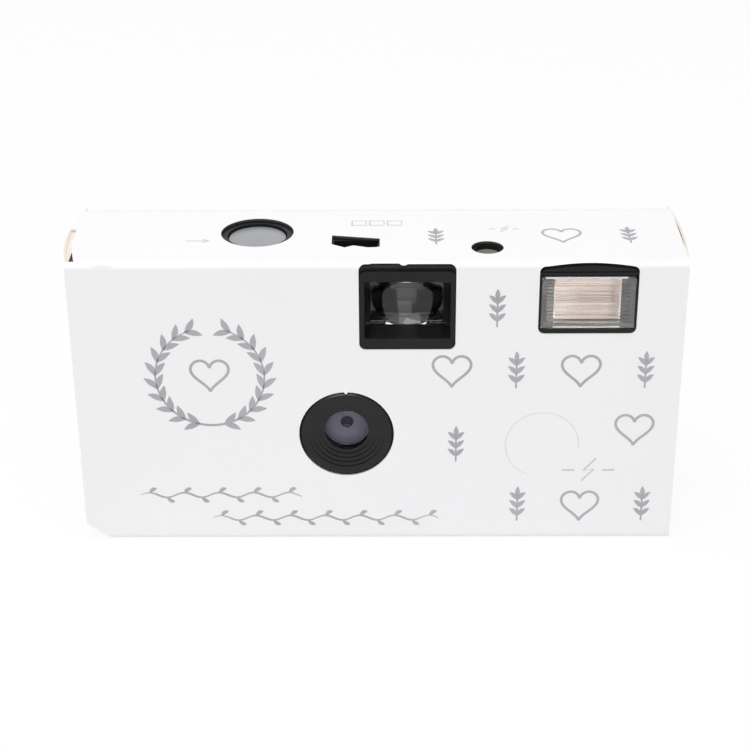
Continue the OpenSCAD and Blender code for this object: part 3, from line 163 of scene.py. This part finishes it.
def makeBoard(b):
    material, tree, shader = startMaterial("carton board, clay coated", {"IOR": 1.5, "Specular IOR Level": 0.2})
    place = addNode(tree, "TexCoord")
    point, normal = place.outputs["Object"], place.outputs["Normal"]
    across = addNode(tree, "SeparateXYZ", links={0: point})
    facing = addNode(tree, "SeparateXYZ", links={0: normal})
    # the coat lies on the outer faces alone: on the folded profile, and on the outward sides of the ends and the slant
    middle = addNode(tree, "VectorMath", values={1: (0, 0, b["height"]/2*mm)}, links={0: point}, operation="SUBTRACT")
    section = addNode(tree, "VectorMath", values={1: (0, 1, 1)}, links={0: middle.outputs[0]}, operation="MULTIPLY")
    section = addNode(tree, "VectorMath", links={0: section.outputs[0]}, operation="ABSOLUTE")
    outward = addNode(tree, "Math", links={0: across.outputs["X"], 1: facing.outputs["X"]}, operation="MULTIPLY")
    coat = addNode(tree, "Math", values={1: b["halfWidth"]*b["outward"]*mm}, links={0: outward.outputs[0]},
                   operation="GREATER_THAN").outputs[0]
    for radius in b["foldRadii"]:
        core = (0, (b["halfDepth"] - radius)*mm, (b["height"]/2 - radius)*mm)
        out = addNode(tree, "VectorMath", values={1: core}, links={0: section.outputs[0]}, operation="SUBTRACT")
        out = addNode(tree, "VectorMath", values={1: (0, 0, 0)}, links={0: out.outputs[0]}, operation="MAXIMUM")
        out = addNode(tree, "VectorMath", links={0: out.outputs[0]}, operation="LENGTH")
        skin = addNode(tree, "Math", values={1: (radius - b["coat"])*mm}, links={0: out.outputs["Value"]},
                       operation="GREATER_THAN")
        coat = addNode(tree, "Math", links={0: coat, 1: skin.outputs[0]}, operation="MAXIMUM").outputs[0]
    mottle = addNode(tree, "TexNoise", values={"Scale": repeats(b["mottle"]), "Detail": 4, "Roughness": 0.6},
                     links={"Vector": point})
    fibre = addNode(tree, "TexNoise", values={"Scale": repeats(b["fibre"]), "Detail": 3, "Distortion": 0.8},
                    links={"Vector": point})
    wobble = addNode(tree, "TexNoise", values={"Scale": repeats(b["wobble"]), "Detail": 1}, links={"Vector": point})
    face = addNode(tree, "MixRGB", values={1: tint(b["face"]), 2: tint(b["faceShade"])},
                   links={0: mottle.outputs["Fac"]})
    raw = addNode(tree, "MixRGB", values={1: tint(b["raw"]), 2: tint(b["rawShade"])}, links={0: fibre.outputs["Fac"]})
    # edges punched through the top panel: painted shade, dark as the shade that falls on them over the black body below
    upright = addNode(tree, "Math", links={0: facing.outputs["Z"]}, operation="ABSOLUTE")
    upright = addNode(tree, "Math", values={1: 0.5}, links={0: upright.outputs[0]}, operation="LESS_THAN")
    high = addNode(tree, "Math", values={1: (b["height"] - b["thick"] - 0.05)*mm}, links={0: across.outputs["Z"]},
                   operation="GREATER_THAN")
    inner = addNode(tree, "Math", links={0: across.outputs["X"]}, operation="ABSOLUTE")
    inner = addNode(tree, "Math", values={1: b["cutReach"]*mm}, links={0: inner.outputs[0]}, operation="LESS_THAN")
    cut = addNode(tree, "Math", links={0: upright.outputs[0], 1: high.outputs[0]}, operation="MULTIPLY")
    cut = addNode(tree, "Math", links={0: cut.outputs[0], 1: inner.outputs[0]}, operation="MULTIPLY")
    edge = addNode(tree, "MixRGB", values={2: tint(b["cut"])}, links={0: cut.outputs[0], 1: raw.outputs[0]})
    # painted shade of a thumb dent on the front fold: a small soft grey patch in the colour, no dent in the shape
    d = b["dentShade"]
    away = addNode(tree, "VectorMath", values={1: tuple(v*mm for v in d["at"])}, links={0: point}, operation="SUBTRACT")
    away = addNode(tree, "VectorMath", values={1: tuple(v*mm for v in d["reach"])}, links={0: away.outputs[0]},
                   operation="DIVIDE")
    away = addNode(tree, "VectorMath", links={0: away.outputs[0]}, operation="LENGTH")
    dentShade = addNode(tree, "MapRange", values={"To Min": d["share"], "To Max": 0.0},
                   links={"Value": away.outputs["Value"]})
    face = addNode(tree, "MixRGB", values={2: tint(d["shade"])}, links={0: dentShade.outputs["Result"], 1: face.outputs[0]})
    colour = addNode(tree, "MixRGB", links={0: coat, 1: edge.outputs[0], 2: face.outputs[0]})
    tree.links.new(colour.outputs[0], shader.inputs["Base Color"])
    polish = addNode(tree, "MapRange", values={"To Min": b["gloss"][0], "To Max": b["gloss"][1]},
                     links={"Value": mottle.outputs["Fac"]})
    dull = addNode(tree, "MixRGB", values={1: (b["rawRough"],)*3 + (1,)}, links={0: coat, 2: polish.outputs["Result"]})
    tree.links.new(dull.outputs[0], shader.inputs["Roughness"])
    waves = addNode(tree, "Bump", values={"Strength": b["waves"][0], "Distance": b["waves"][1]*mm},
                    links={"Height": wobble.outputs["Fac"]})
    nap = addNode(tree, "Bump", values={"Strength": b["nap"][0], "Distance": b["nap"][1]*mm},
                  links={"Height": fibre.outputs["Fac"], "Normal": waves.outputs[0]})
    tree.links.new(nap.outputs[0], shader.inputs["Normal"])
    return material


# finishes by record slot. tones: sRGB from and to; rough: from and to; grain and relief in mm; stretch of the grain
# along x y z; sockets: further values on the shader
finishes = {
    # spark-eroded mould: a fine matt grain that keeps the black soft
    "black_abs": {"name": "ABS, moulded with spark texture", "tones": ("#0f0f10", "#151516"), "rough": (0.36, 0.5),
                  "grain": 0.28, "relief": 0.005, "sockets": {"Specular IOR Level": 0.25}},
    # polished mould: deep black with narrow clear highlights
    "black_gloss": {"name": "polystyrene, moulded satin", "tones": ("#0a0a0b", "#0f0f10"), "rough": (0.2, 0.3),
                    "grain": 0.6, "relief": 0.002, "sockets": {"Specular IOR Level": 0.35}},
    # pigment flakes in the plastic: a soft silver sheen over the dome
    "grey_plastic": {"name": "ABS, moulded with silver pigment", "tones": ("#919396", "#9d9fa2"), "metallic": 0.3,
                     "rough": (0.28, 0.38), "grain": 0.2, "relief": 0.002},
    # waxy natural polymer: light sinks in a little
    "white_plastic": {"name": "acetal, moulded natural", "tones": ("#e4e2dc", "#efede7"), "rough": (0.35, 0.45),
                      "grain": 1.2, "relief": 0.002},
    # bright zinc over rolled sheet and drawn wire: fine rolling lines
    "plated_steel": {"name": "steel, zinc plated", "tones": ("#b9bcc0", "#cfd1d3"), "metallic": 1.0,
                     "rough": (0.22, 0.36), "grain": 0.25, "relief": 0.003, "stretch": (0.06, 1, 1)},
    # chemically blackened sheet: dull brown black
    "blackened_steel": {"name": "steel, chemically blackened", "tones": ("#101011", "#19191a"), "metallic": 0.5,
                        "rough": (0.42, 0.55), "grain": 0.5, "relief": 0.003},
    # lacquer over tinplate: smooth olive with faint runs
    "cartridge_tin": {"name": "tinplate, lacquered", "tones": ("#5c6646", "#667050"), "metallic": 0.3,
                      "rough": (0.28, 0.36), "grain": 3.0, "relief": 0.004, "stretch": (1, 1, 0.2)},
    # gelatine on acetate: dark brown with a wet gloss
    "film_base": {"name": "acetate film, gelatine coated", "tones": ("#3a2c25", "#46362d"), "rough": (0.18, 0.26),
                  "grain": 2.0, "relief": 0.002},
    # rolled foil over card: warm bright metal with long ripples
    "bright_foil": {"name": "aluminium foil, rolled bright", "tones": ("#fbeee6", "#fff7f1"), "metallic": 0.95,
                    "rough": (0.15, 0.28), "grain": 1.4, "relief": 0.05, "stretch": (0.12, 1, 1)},
    # green resist over copper: glossy with the weave of the laminate showing
    "board_green": {"name": "glass epoxy, solder mask", "tones": ("#174a2b", "#1f5a35"), "rough": (0.3, 0.42),
                    "grain": 0.7, "relief": 0.006},
    # dipped resin bodies: sandy tan
    "part_tan": {"name": "ceramic, resin dipped", "tones": ("#b89c72", "#c7ab80"), "rough": (0.35, 0.5),
                 "grain": 0.6, "relief": 0.004},
    # shrunk sleeve over an aluminium can: dark and slick
    "sleeve_dark": {"name": "aluminium can, shrink sleeved", "tones": ("#191b22", "#22252e"), "rough": (0.22, 0.3),
                    "grain": 2.5, "relief": 0.003, "stretch": (1, 1, 0.3)},
    # varnished copper wire laid turn by turn
    "winding": {"name": "copper wire, varnished winding", "tones": ("#8a4f22", "#b06b33"), "metallic": 0.85,
                "rough": (0.25, 0.4), "grain": 0.3, "relief": 0.03, "stretch": (0.02, 0.02, 1)},
    # lamp that isn't lit: smoky glass with a grey glint
    "lamp_glass": {"name": "glass, smoked and fire polished", "tones": ("#8a8781", "#98958f"), "rough": (0.08, 0.16),
                   "grain": 1.0, "relief": 0.004, "sockets": {"Transmission Weight": 0.2, "Specular IOR Level": 0.4}},
    # plain printed jacket on the cell
    "cell_jacket": {"name": "steel can, gold lacquered jacket", "tones": ("#a5843c", "#b39248"), "metallic": 0.8,
                    "rough": (0.24, 0.34), "grain": 2.0, "relief": 0.002, "stretch": (1, 1, 0.2)},
    # rolled spring strip
    "contact_brass": {"name": "brass, rolled spring strip", "tones": ("#b58f4a", "#c9a45c"), "metallic": 1.0,
                      "rough": (0.22, 0.34), "grain": 0.25, "relief": 0.003, "stretch": (1, 1, 0.06)},
    # clear moulded windows and lenses: a slight tool haze in the roughness alone
    "clear_plastic": {"name": "acrylic, moulded clear", "tones": ("#f3f5f6", "#fafcfc"), "rough": (0.0, 0.04),
                      "grain": 3.0, "sockets": {"Transmission Weight": 1.0, "IOR": 1.49}},
    # drawn glass: long faint streaks along the tube
    "tube_glass": {"name": "glass, drawn tube", "tones": ("#f7f8f8", "#fcfdfd"), "rough": (0.0, 0.03), "grain": 2.0,
                   "stretch": (0.2, 1, 1), "sockets": {"Transmission Weight": 1.0, "IOR": 1.47}},
    # silver printing ink: satin grey with a fine flake that catches the softbox
    "silver_ink": {"name": "silver ink, offset printed", "tones": ("#a6a7ab", "#b1b2b5"), "metallic": 0.2,
                   "rough": (0.4, 0.52), "grain": 0.18, "relief": 0.001},
    # thin grey ink of the small signs: matt, partly sunk into the coat
    "pale_ink": {"name": "grey ink, offset printed", "tones": ("#c3c4c7", "#cdced0"), "rough": (0.5, 0.6),
                 "grain": 0.18, "relief": 0.001},
    # white ink on the dial: chalky and opaque
    "white_ink": {"name": "white ink, pad printed", "tones": ("#e2e2df", "#ececea"), "rough": (0.5, 0.62),
                  "grain": 0.12, "relief": 0.001},
    # inner walls of the finder tunnel: smooth enough to throw back the light from the eyepiece
    "black_smooth": {"name": "polystyrene, moulded smooth", "tones": ("#0c0c0d", "#121213"), "rough": (0.2, 0.28),
                     "grain": 0.8, "relief": 0.001, "sockets": {"Specular IOR Level": 0.4}},
    # ribbed flash cover: clear with a slight milk that spreads the light between its ribs
    "clear_ribbed": {"name": "acrylic, moulded ribbed", "tones": ("#faf6f4", "#fefcfb"), "rough": (0.02, 0.07),
                     "grain": 2.0, "sockets": {"Transmission Weight": 0.92, "IOR": 1.49}},
    # coated lens: most of the glare is gone and what is left looks faintly violet
    "coated_lens": {"name": "acrylic, moulded and coated", "tones": ("#eeecf3", "#f5f3f9"), "rough": (0.0, 0.03),
                    "grain": 3.0,
                    "sockets": {"Transmission Weight": 1.0, "IOR": 1.49, "Specular Tint": tint("#8f8b99")}},
    # plate behind the lens: paler than the ring, so the dark aperture stands out in the glass
    "lens_grey": {"name": "polystyrene, moulded grey", "tones": ("#807e89", "#8b8994"), "rough": (0.4, 0.52),
                  "grain": 0.3, "relief": 0.003, "sockets": {"Specular IOR Level": 0.3}},
}
# where one node differs from the rest of its slot
nodeFinish = {"lens_plate": "lens_grey", "taking_lens": "coated_lens", "chassis": "black_smooth",
              "flash_window": "clear_ribbed"}


# what all finishes share: slow drift of the tone in mm, and how the noise is spread
noise = {"drift": 14, "from": 0.3, "to": 0.7, "detail": 3, "fine": 0.55, "bump": 0.6}


def makeFinish(f):
    material, tree, shader = startMaterial(f["name"], {"Metallic": f.get("metallic", 0.0), **f.get("sockets", {})})
    point = addNode(tree, "TexCoord").outputs["Object"]
    laid = addNode(tree, "Mapping", values={"Scale": f.get("stretch", (1, 1, 1))}, links={"Vector": point})
    pattern = addNode(tree, "TexNoise", links={"Vector": laid.outputs[0]},
                      values={"Scale": repeats(f["grain"]), "Detail": noise["detail"], "Roughness": noise["fine"]})
    drift = addNode(tree, "TexNoise", values={"Scale": repeats(noise["drift"]), "Detail": 2}, links={"Vector": point})
    spread = {"From Min": noise["from"], "From Max": noise["to"]}
    shade = addNode(tree, "MapRange", values=spread, links={"Value": drift.outputs["Fac"]})
    colour = addNode(tree, "MixRGB", values={1: tint(f["tones"][0]), 2: tint(f["tones"][1])},
                     links={0: shade.outputs["Result"]})
    tree.links.new(colour.outputs[0], shader.inputs["Base Color"])
    polish = addNode(tree, "MapRange", links={"Value": pattern.outputs["Fac"]},
                     values={**spread, "To Min": f["rough"][0], "To Max": f["rough"][1]})
    tree.links.new(polish.outputs["Result"], shader.inputs["Roughness"])
    if "relief" in f:
        bump = addNode(tree, "Bump", values={"Strength": noise["bump"], "Distance": f["relief"]*mm},
                       links={"Height": pattern.outputs["Fac"]})
        tree.links.new(bump.outputs[0], shader.inputs["Normal"])
    return material


materials = {slot: makeFinish(finish) for slot, finish in finishes.items()}
materials["white_board"] = makeBoard(board)
for part in frame["record"]["subparts"]:
    node = frame["nodes"][part["node"]]
    finish = materials[nodeFinish.get(part["node"], part["material_slot"])]
    if not node.material_slots:
        node.data.materials.append(finish)
    for place in node.material_slots:
        place.material = finish
print("finishes:", len(materials))


# pen strokes: a smooth line through a few points, as wide as a flat nib held at one angle would draw it
def smoothLine(points, steps=14):
    line = []
    ends = [points[0]] + list(points) + [points[-1]]
    for a, b, c, d in zip(ends, ends[1:], ends[2:], ends[3:]):
        for k in range(steps):
            t = k/steps
            line.append(tuple(0.5*(2*q + (r - p)*t + (2*p - 5*q + 4*r - s)*t*t + (3*q - p - 3*r + s)*t**3)
                              for p, q, r, s in zip(a, b, c, d)))
    return line + [tuple(points[-1])]


# how ink lies: lift of the first stroke, step to the next, steps in all, sink of the sides, all heights in mm; then
# the share left at a stroke's tip, the share of its length that tapers, and how fast the nib swells
ink = {"lift": 0.02, "step": 0.004, "levels": 3, "sink": 0.005, "tip": 0.35, "taper": 0.12, "swell": 1.5}


def nibWidths(line, thin, thick, nib):
    widths = []
    count = len(line) - 1
    for k in range(count + 1):
        a, b = line[max(k - 1, 0)], line[min(k + 1, count)]
        heading = math.atan2(b[1] - a[1], b[0] - a[0])
        wide = thin + (thick - thin)*abs(math.sin(heading - math.radians(nib)))**ink["swell"]
        taper = min(1, ink["tip"] + (1 - ink["tip"])*min(k, count - k)/(ink["taper"]*count))
        widths.append(wide*taper)
    return widths


# a printed ribbon for each stroke: flat top, with sides that run down into what carries it; the first strokes lie a
# hair above each other where they cross
def printRibbons(name, strokes, lay, finish, body):
    points, faces = [], []
    for order, (line, widths) in enumerate(strokes):
        first = len(points)
        count = len(line)
        high = ink["lift"] + ink["step"]*min(order, ink["levels"])
        for k, (at, wide) in enumerate(zip(line, widths)):
            a, b = line[max(k - 1, 0)], line[min(k + 1, count - 1)]
            length = math.hypot(b[0] - a[0], b[1] - a[1]) or 1
            side = (-(b[1] - a[1])/length*wide/2, (b[0] - a[0])/length*wide/2)
            for sign, height in ((1, -ink["sink"]), (1, high), (-1, high), (-1, -ink["sink"])):
                points.append(Vector(lay(at[0] + sign*side[0], at[1] + sign*side[1], height))*mm)
        for k in range(count - 1):
            for j in range(3):
                p = first + 4*k + j
                faces.append((p, p + 4, p + 5, p + 1))
        faces.append((first, first + 1, first + 2, first + 3))
        last = first + 4*(count - 1)
        faces.append((last + 3, last + 2, last + 1, last))
    mesh = bpy.data.meshes.new(name)
    mesh.from_pydata(points, [], faces)
    mesh.update()
    piece = bpy.data.objects.new(name, mesh)
    scene.collection.objects.link(piece)
    mesh.materials.append(materials[finish])
    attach(piece, body)
    return piece


def onFront(u, v, height):
    return (u, -board["halfDepth"] - height, v)


def onTop(u, v, height):
    return (u, v - board["halfDepth"], board["height"] + height)


# a leaf as one stroke: pointed at both ends, fullest in the middle, bowed a little
leafShape = {"steps": 10, "point": 0.08}


def leafStroke(foot, heading, length, wide, bow):
    line, widths = [], []
    for k in range(leafShape["steps"] + 1):
        t = k/leafShape["steps"]
        along, aside = length*t, bow*math.sin(math.pi*t)
        line.append((foot[0] + along*math.cos(heading) - aside*math.sin(heading),
                     foot[1] + along*math.sin(heading) + aside*math.cos(heading)))
        widths.append(leafShape["point"] + wide*math.sin(math.pi*t))
    return line, widths


# a laurel ring beside the lens: two branches that rise from the foot and leave the top open
laurel = {"middle": (-32.5, 37.0), "radius": 10.6, "reach": 158, "leaves": 10, "leaf": (3.5, 1.15, 0.25), "spread": 34,
          "pen": 0.5, "steps": 60, "thinning": 0.5, "firstLeaf": 0.8}


def printLaurel(l):
    middle, strokes, leaves = l["middle"], [], []
    for side in (1, -1):
        stem = []
        for k in range(l["steps"] + 1):
            turn = math.radians(l["reach"])*k/l["steps"]
            stem.append((middle[0] + side*l["radius"]*math.sin(turn), middle[1] - l["radius"]*math.cos(turn)))
        strokes.append((stem, [l["pen"]*(1 - l["thinning"]*k/l["steps"]) for k in range(len(stem))]))
        for k in range(l["leaves"]):
            turn = math.radians(l["reach"])*(k + l["firstLeaf"])/l["leaves"]
            foot = (middle[0] + side*l["radius"]*math.sin(turn), middle[1] - l["radius"]*math.cos(turn))
            ahead = math.atan2(math.sin(turn), side*math.cos(turn))
            for out in (1, -1):
                length, wide, bow = l["leaf"]
                leaves.append(leafStroke(foot, ahead + out*math.radians(l["spread"]), length, wide, -out*bow))
    printRibbons("laurelRing", strokes + leaves, onFront, "silver_ink", "camera")


printLaurel(laurel)

# plain upright hearts from the textbook heart curve, with one even line
hearts = {"size": (7.4, 6.8), "pen": 0.55, "steps": 32, "curveMiddle": -2.5, "curveHigh": 29,
          "rows": [("heartInRing", onFront, (-32.5, 37.2)), ("heartUpper", onFront, (14.5, 38.0)),
                   ("heartUpperRight", onFront, (39.5, 38.0)), ("heartRight", onFront, (50.5, 25.0)),
                   ("heartLower", onFront, (40.5, 7.6)), ("heartTop", onTop, (36.0, 13.0))]}


def printHearts(h):
    for name, lay, middle in h["rows"]:
        strokes = []
        for side in (-1, 1):
            line = []
            for k in range(h["steps"] + 1):
                t = math.pi*k/h["steps"]
                y = 13*math.cos(t) - 5*math.cos(2*t) - 2*math.cos(3*t) - math.cos(4*t)
                line.append((middle[0] + side*h["size"][0]/2*math.sin(t)**3,
                             middle[1] + h["size"][1]*(y - h["curveMiddle"])/h["curveHigh"]))
            strokes.append((line, [h["pen"]]*len(line)))
        printRibbons(name, strokes, lay, "silver_ink", "camera")


printHearts(hearts)

# leaf sprigs between the hearts: an upright stem with three pairs of leaves and one at the tip
sprigs = {"high": 5.6, "pen": 0.36, "leaf": (2.4, 0.85, 0.2), "spread": 42, "pairs": 3, "steps": 12, "firstPair": 0.6,
          "rows": [("sprigUpper", onFront, (23.0, 47.6)), ("sprigMiddle", onFront, (27.0, 34.4)),
                   ("sprigRight", onFront, (52.0, 34.4)), ("sprigByLens", onFront, (15.5, 18.0)),
                   ("sprigLower", onFront, (28.0, 4.2)), ("sprigLowerRight", onFront, (53.0, 4.2)),
                   ("sprigTop", onTop, (11.5, 9.0)), ("sprigTopRight", onTop, (49.0, 9.4))]}


def printSprigs(g):
    for name, lay, foot in g["rows"]:
        stem = [(foot[0], foot[1] + g["high"]*k/g["steps"]) for k in range(g["steps"] + 1)]
        strokes = [(stem, [g["pen"]]*len(stem))]
        length, wide, bow = g["leaf"]
        for k in range(g["pairs"]):
            at = (foot[0], foot[1] + g["high"]*(k + g["firstPair"])/g["pairs"])
            for out in (1, -1):
                strokes.append(leafStroke(at, math.radians(90 + out*g["spread"]), length, wide, -out*bow))
        strokes.append(leafStroke(stem[-1], math.radians(90), length, wide, 0))
        printRibbons(name, strokes, lay, "silver_ink", "camera")


printSprigs(sprigs)
print("laurel, hearts and sprigs printed")


# two plain vines along the lower front: a wavy stem with a leaf at each crest
vines = {"period": 7.0, "swing": 0.55, "leaf": (1.5, 1.0), "leafWide": (0.12, 0.7), "thin": 0.3, "thick": 0.5,
         "nib": 35, "stepsPerMm": 3, "leafSteps": 6,
         "rows": [("vineUpper", -47.6, -15.2, 10.4), ("vineLower", -33.4, 12.2, 5.0)]}


def printVines(v):
    for name, start, end, level in v["rows"]:
        count = round((end - start)*v["stepsPerMm"])
        stem = [(start + (end - start)*k/count,
                 level + v["swing"]*math.sin(2*math.pi*(end - start)*k/count/v["period"])) for k in range(count + 1)]
        strokes = [(stem, nibWidths(stem, v["thin"], v["thick"], v["nib"]))]
        for k in range(int((end - start)/v["period"]*2)):
            x = start + v["period"]*(k/2 + 0.25)
            side = 1 if k % 2 == 0 else -1
            foot = level + side*v["swing"]
            leaf = smoothLine([(x, foot), (x + v["leaf"][0]*0.5, foot + side*v["leaf"][1]*0.75),
                               (x + v["leaf"][0], foot + side*v["leaf"][1])], v["leafSteps"])
            point, full = v["leafWide"]
            strokes.append((leaf, [point + full*math.sin(math.pi*i/(len(leaf) - 1)) for i in range(len(leaf))]))
        printRibbons(name, strokes, onFront, "silver_ink", "camera")


printVines(vines)

# small plain signs: a bolt by the flash tab and by the lamp, an arrow to the button, frames by the counter
signs = {"wide": 0.36,
         "rows": [("boltByTab", onFront, [[(43.3, 18.6), (40.9, 15.9), (43.0, 16.2), (40.6, 13.5)],
                                          [(36.7, 16.0), (39.2, 16.0)], [(44.7, 16.0), (47.1, 16.0)]]),
                  ("arrowToButton", onTop, [[(-37.0, 11.0), (-32.4, 11.0)],
                                            [(-33.7, 11.8), (-32.4, 11.0), (-33.7, 10.2)]]),
                  ("framesByCounter", onTop, [[(x, 18.6), (x + 2.8, 18.6), (x + 2.8, 20.8), (x, 20.8), (x, 18.6)]
                                              for x in (-4.9, -1.4, 2.1)]),
                  ("boltByLamp", onTop, [[(25.9, 18.0), (24.3, 16.5), (25.7, 16.7), (24.1, 15.1)],
                                         [(21.9, 16.5), (23.2, 16.5)], [(26.6, 16.5), (27.8, 16.5)]])]}


def printSigns(g):
    for name, lay, lines in g["rows"]:
        strokes = [(line, [g["wide"]]*len(line)) for line in lines]
        printRibbons(name, strokes, lay, "pale_ink", "camera")


printSigns(signs)

# white figures round the counter dial: every third exposure, with a dot between
figures = {"dial": (-11.50215, -3.49789, 56.4), "circle": 5.1, "high": 1.25, "wide": 0.62, "pen": 0.17, "places": 28,
           "every": 3, "pitch": 1.35,
           "shapes": {"0": [(0, .3), (0, .7), (.5, 1), (1, .7), (1, .3), (.5, 0), (0, .3)],
                      "1": [(.2, .8), (.6, 1), (.6, 0)],
                      "2": [(0, .8), (.5, 1), (1, .75), (0, 0), (1, 0)],
                      "3": [(0, .9), (.6, 1), (.9, .75), (.4, .52), (1, .3), (.6, 0), (0, .1)],
                      "4": [(.75, 0), (.75, 1), (0, .3), (1, .3)],
                      "5": [(.95, 1), (.1, 1), (.05, .55), (.6, .62), (1, .32), (.6, 0), (0, .1)],
                      "6": [(.85, 1), (.15, .55), (0, .25), (.5, 0), (1, .25), (.5, .52), (.1, .4)],
                      "7": [(0, 1), (1, 1), (.4, 0)],
                      "8": [(.5, .52), (.05, .76), (.5, 1), (.95, .76), (.5, .52), (0, .25), (.5, 0), (1, .25),
                            (.5, .52)],
                      "9": [(.15, 0), (.85, .45), (1, .75), (.5, 1), (0, .75), (.5, .48), (.9, .6)]}}


def printFigures(f):
    def onDial(u, v, height):
        return (f["dial"][0] + u, f["dial"][1] + v, f["dial"][2] + height)
    strokes = []
    for place in range(f["places"]):
        turn = 2*math.pi*place/f["places"]
        c, n = math.cos(turn), math.sin(turn)
        text = str(place) if place % f["every"] == 0 else "."
        step = f["wide"]*f["pitch"]
        for k, sign in enumerate(text):
            shape = f["shapes"].get(sign, [(.3, .5), (.7, .5)])
            line = []
            for u, v in shape:
                u = (k - (len(text) - 1)/2)*step + (u - 0.5)*f["wide"]
                v = f["circle"] + (v - 0.5)*f["high"]
                line.append((u*c + v*n, v*c - u*n))
            strokes.append((line, [f["pen"]]*len(line)))
    printRibbons("dialFigures", strokes, onDial, "white_ink", "counter")


printFigures(figures)
print("signs and figures printed")

# paper fibres left standing in the punched slit round the flash tab, and the creased skin along its hinge
slit = {"middle": (32.5, 21.75), "radius": 7.235, "wide": 0.1, "from": -5.6, "to": 250.6,
        "hinge": [(30.1, 14.94), (39.7, 21.05)], "hingeWide": 0.42, "sunk": 0.06, "steps": 120}


def inSlit(u, v, height):
    return onFront(u, v, height - slit["sunk"])


def fillSlit(s):
    arc = []
    for k in range(s["steps"] + 1):
        turn = math.radians(s["from"] + (s["to"] - s["from"])*k/s["steps"])
        arc.append((s["middle"][0] + s["radius"]*math.cos(turn), s["middle"][1] + s["radius"]*math.sin(turn)))
    printRibbons("slitFibres", [(arc, [s["wide"]]*len(arc))], inSlit, "white_board", "camera")
    printRibbons("hingeSkin", [(s["hinge"], [s["hingeWide"]]*2)], onFront, "white_board", "camera")


fillSlit(slit)

# a scrap left by the punch at the top of the lens hole, hanging over the ring
nick = {"points": [(-6.6, 34.0), (-5.6, 34.0), (-5.8, 33.55), (-6.0, 33.3), (-6.2, 33.32), (-6.4, 33.55)],
        "thick": 0.16, "over": 0.12, "edge": 33.9}


def hangNick(k):
    count = len(k["points"])
    near = [Vector(onFront(u, v, k["over"] + k["thick"]))*mm for u, v in k["points"]]
    far = [Vector(onFront(u, v, k["over"] if v < k["edge"] else 0))*mm for u, v in k["points"]]
    faces = [tuple(range(count)), tuple(range(2*count - 1, count - 1, -1))]
    faces += [(i, i + count, (i + 1) % count + count, (i + 1) % count) for i in range(count)]
    mesh = bpy.data.meshes.new("punchScrap")
    mesh.from_pydata(near + far, [], faces)
    mesh.update()
    piece = bpy.data.objects.new("punchScrap", mesh)
    scene.collection.objects.link(piece)
    mesh.materials.append(materials["white_board"])
    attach(piece, "camera")


hangNick(nick)
print("slit and scrap laid")
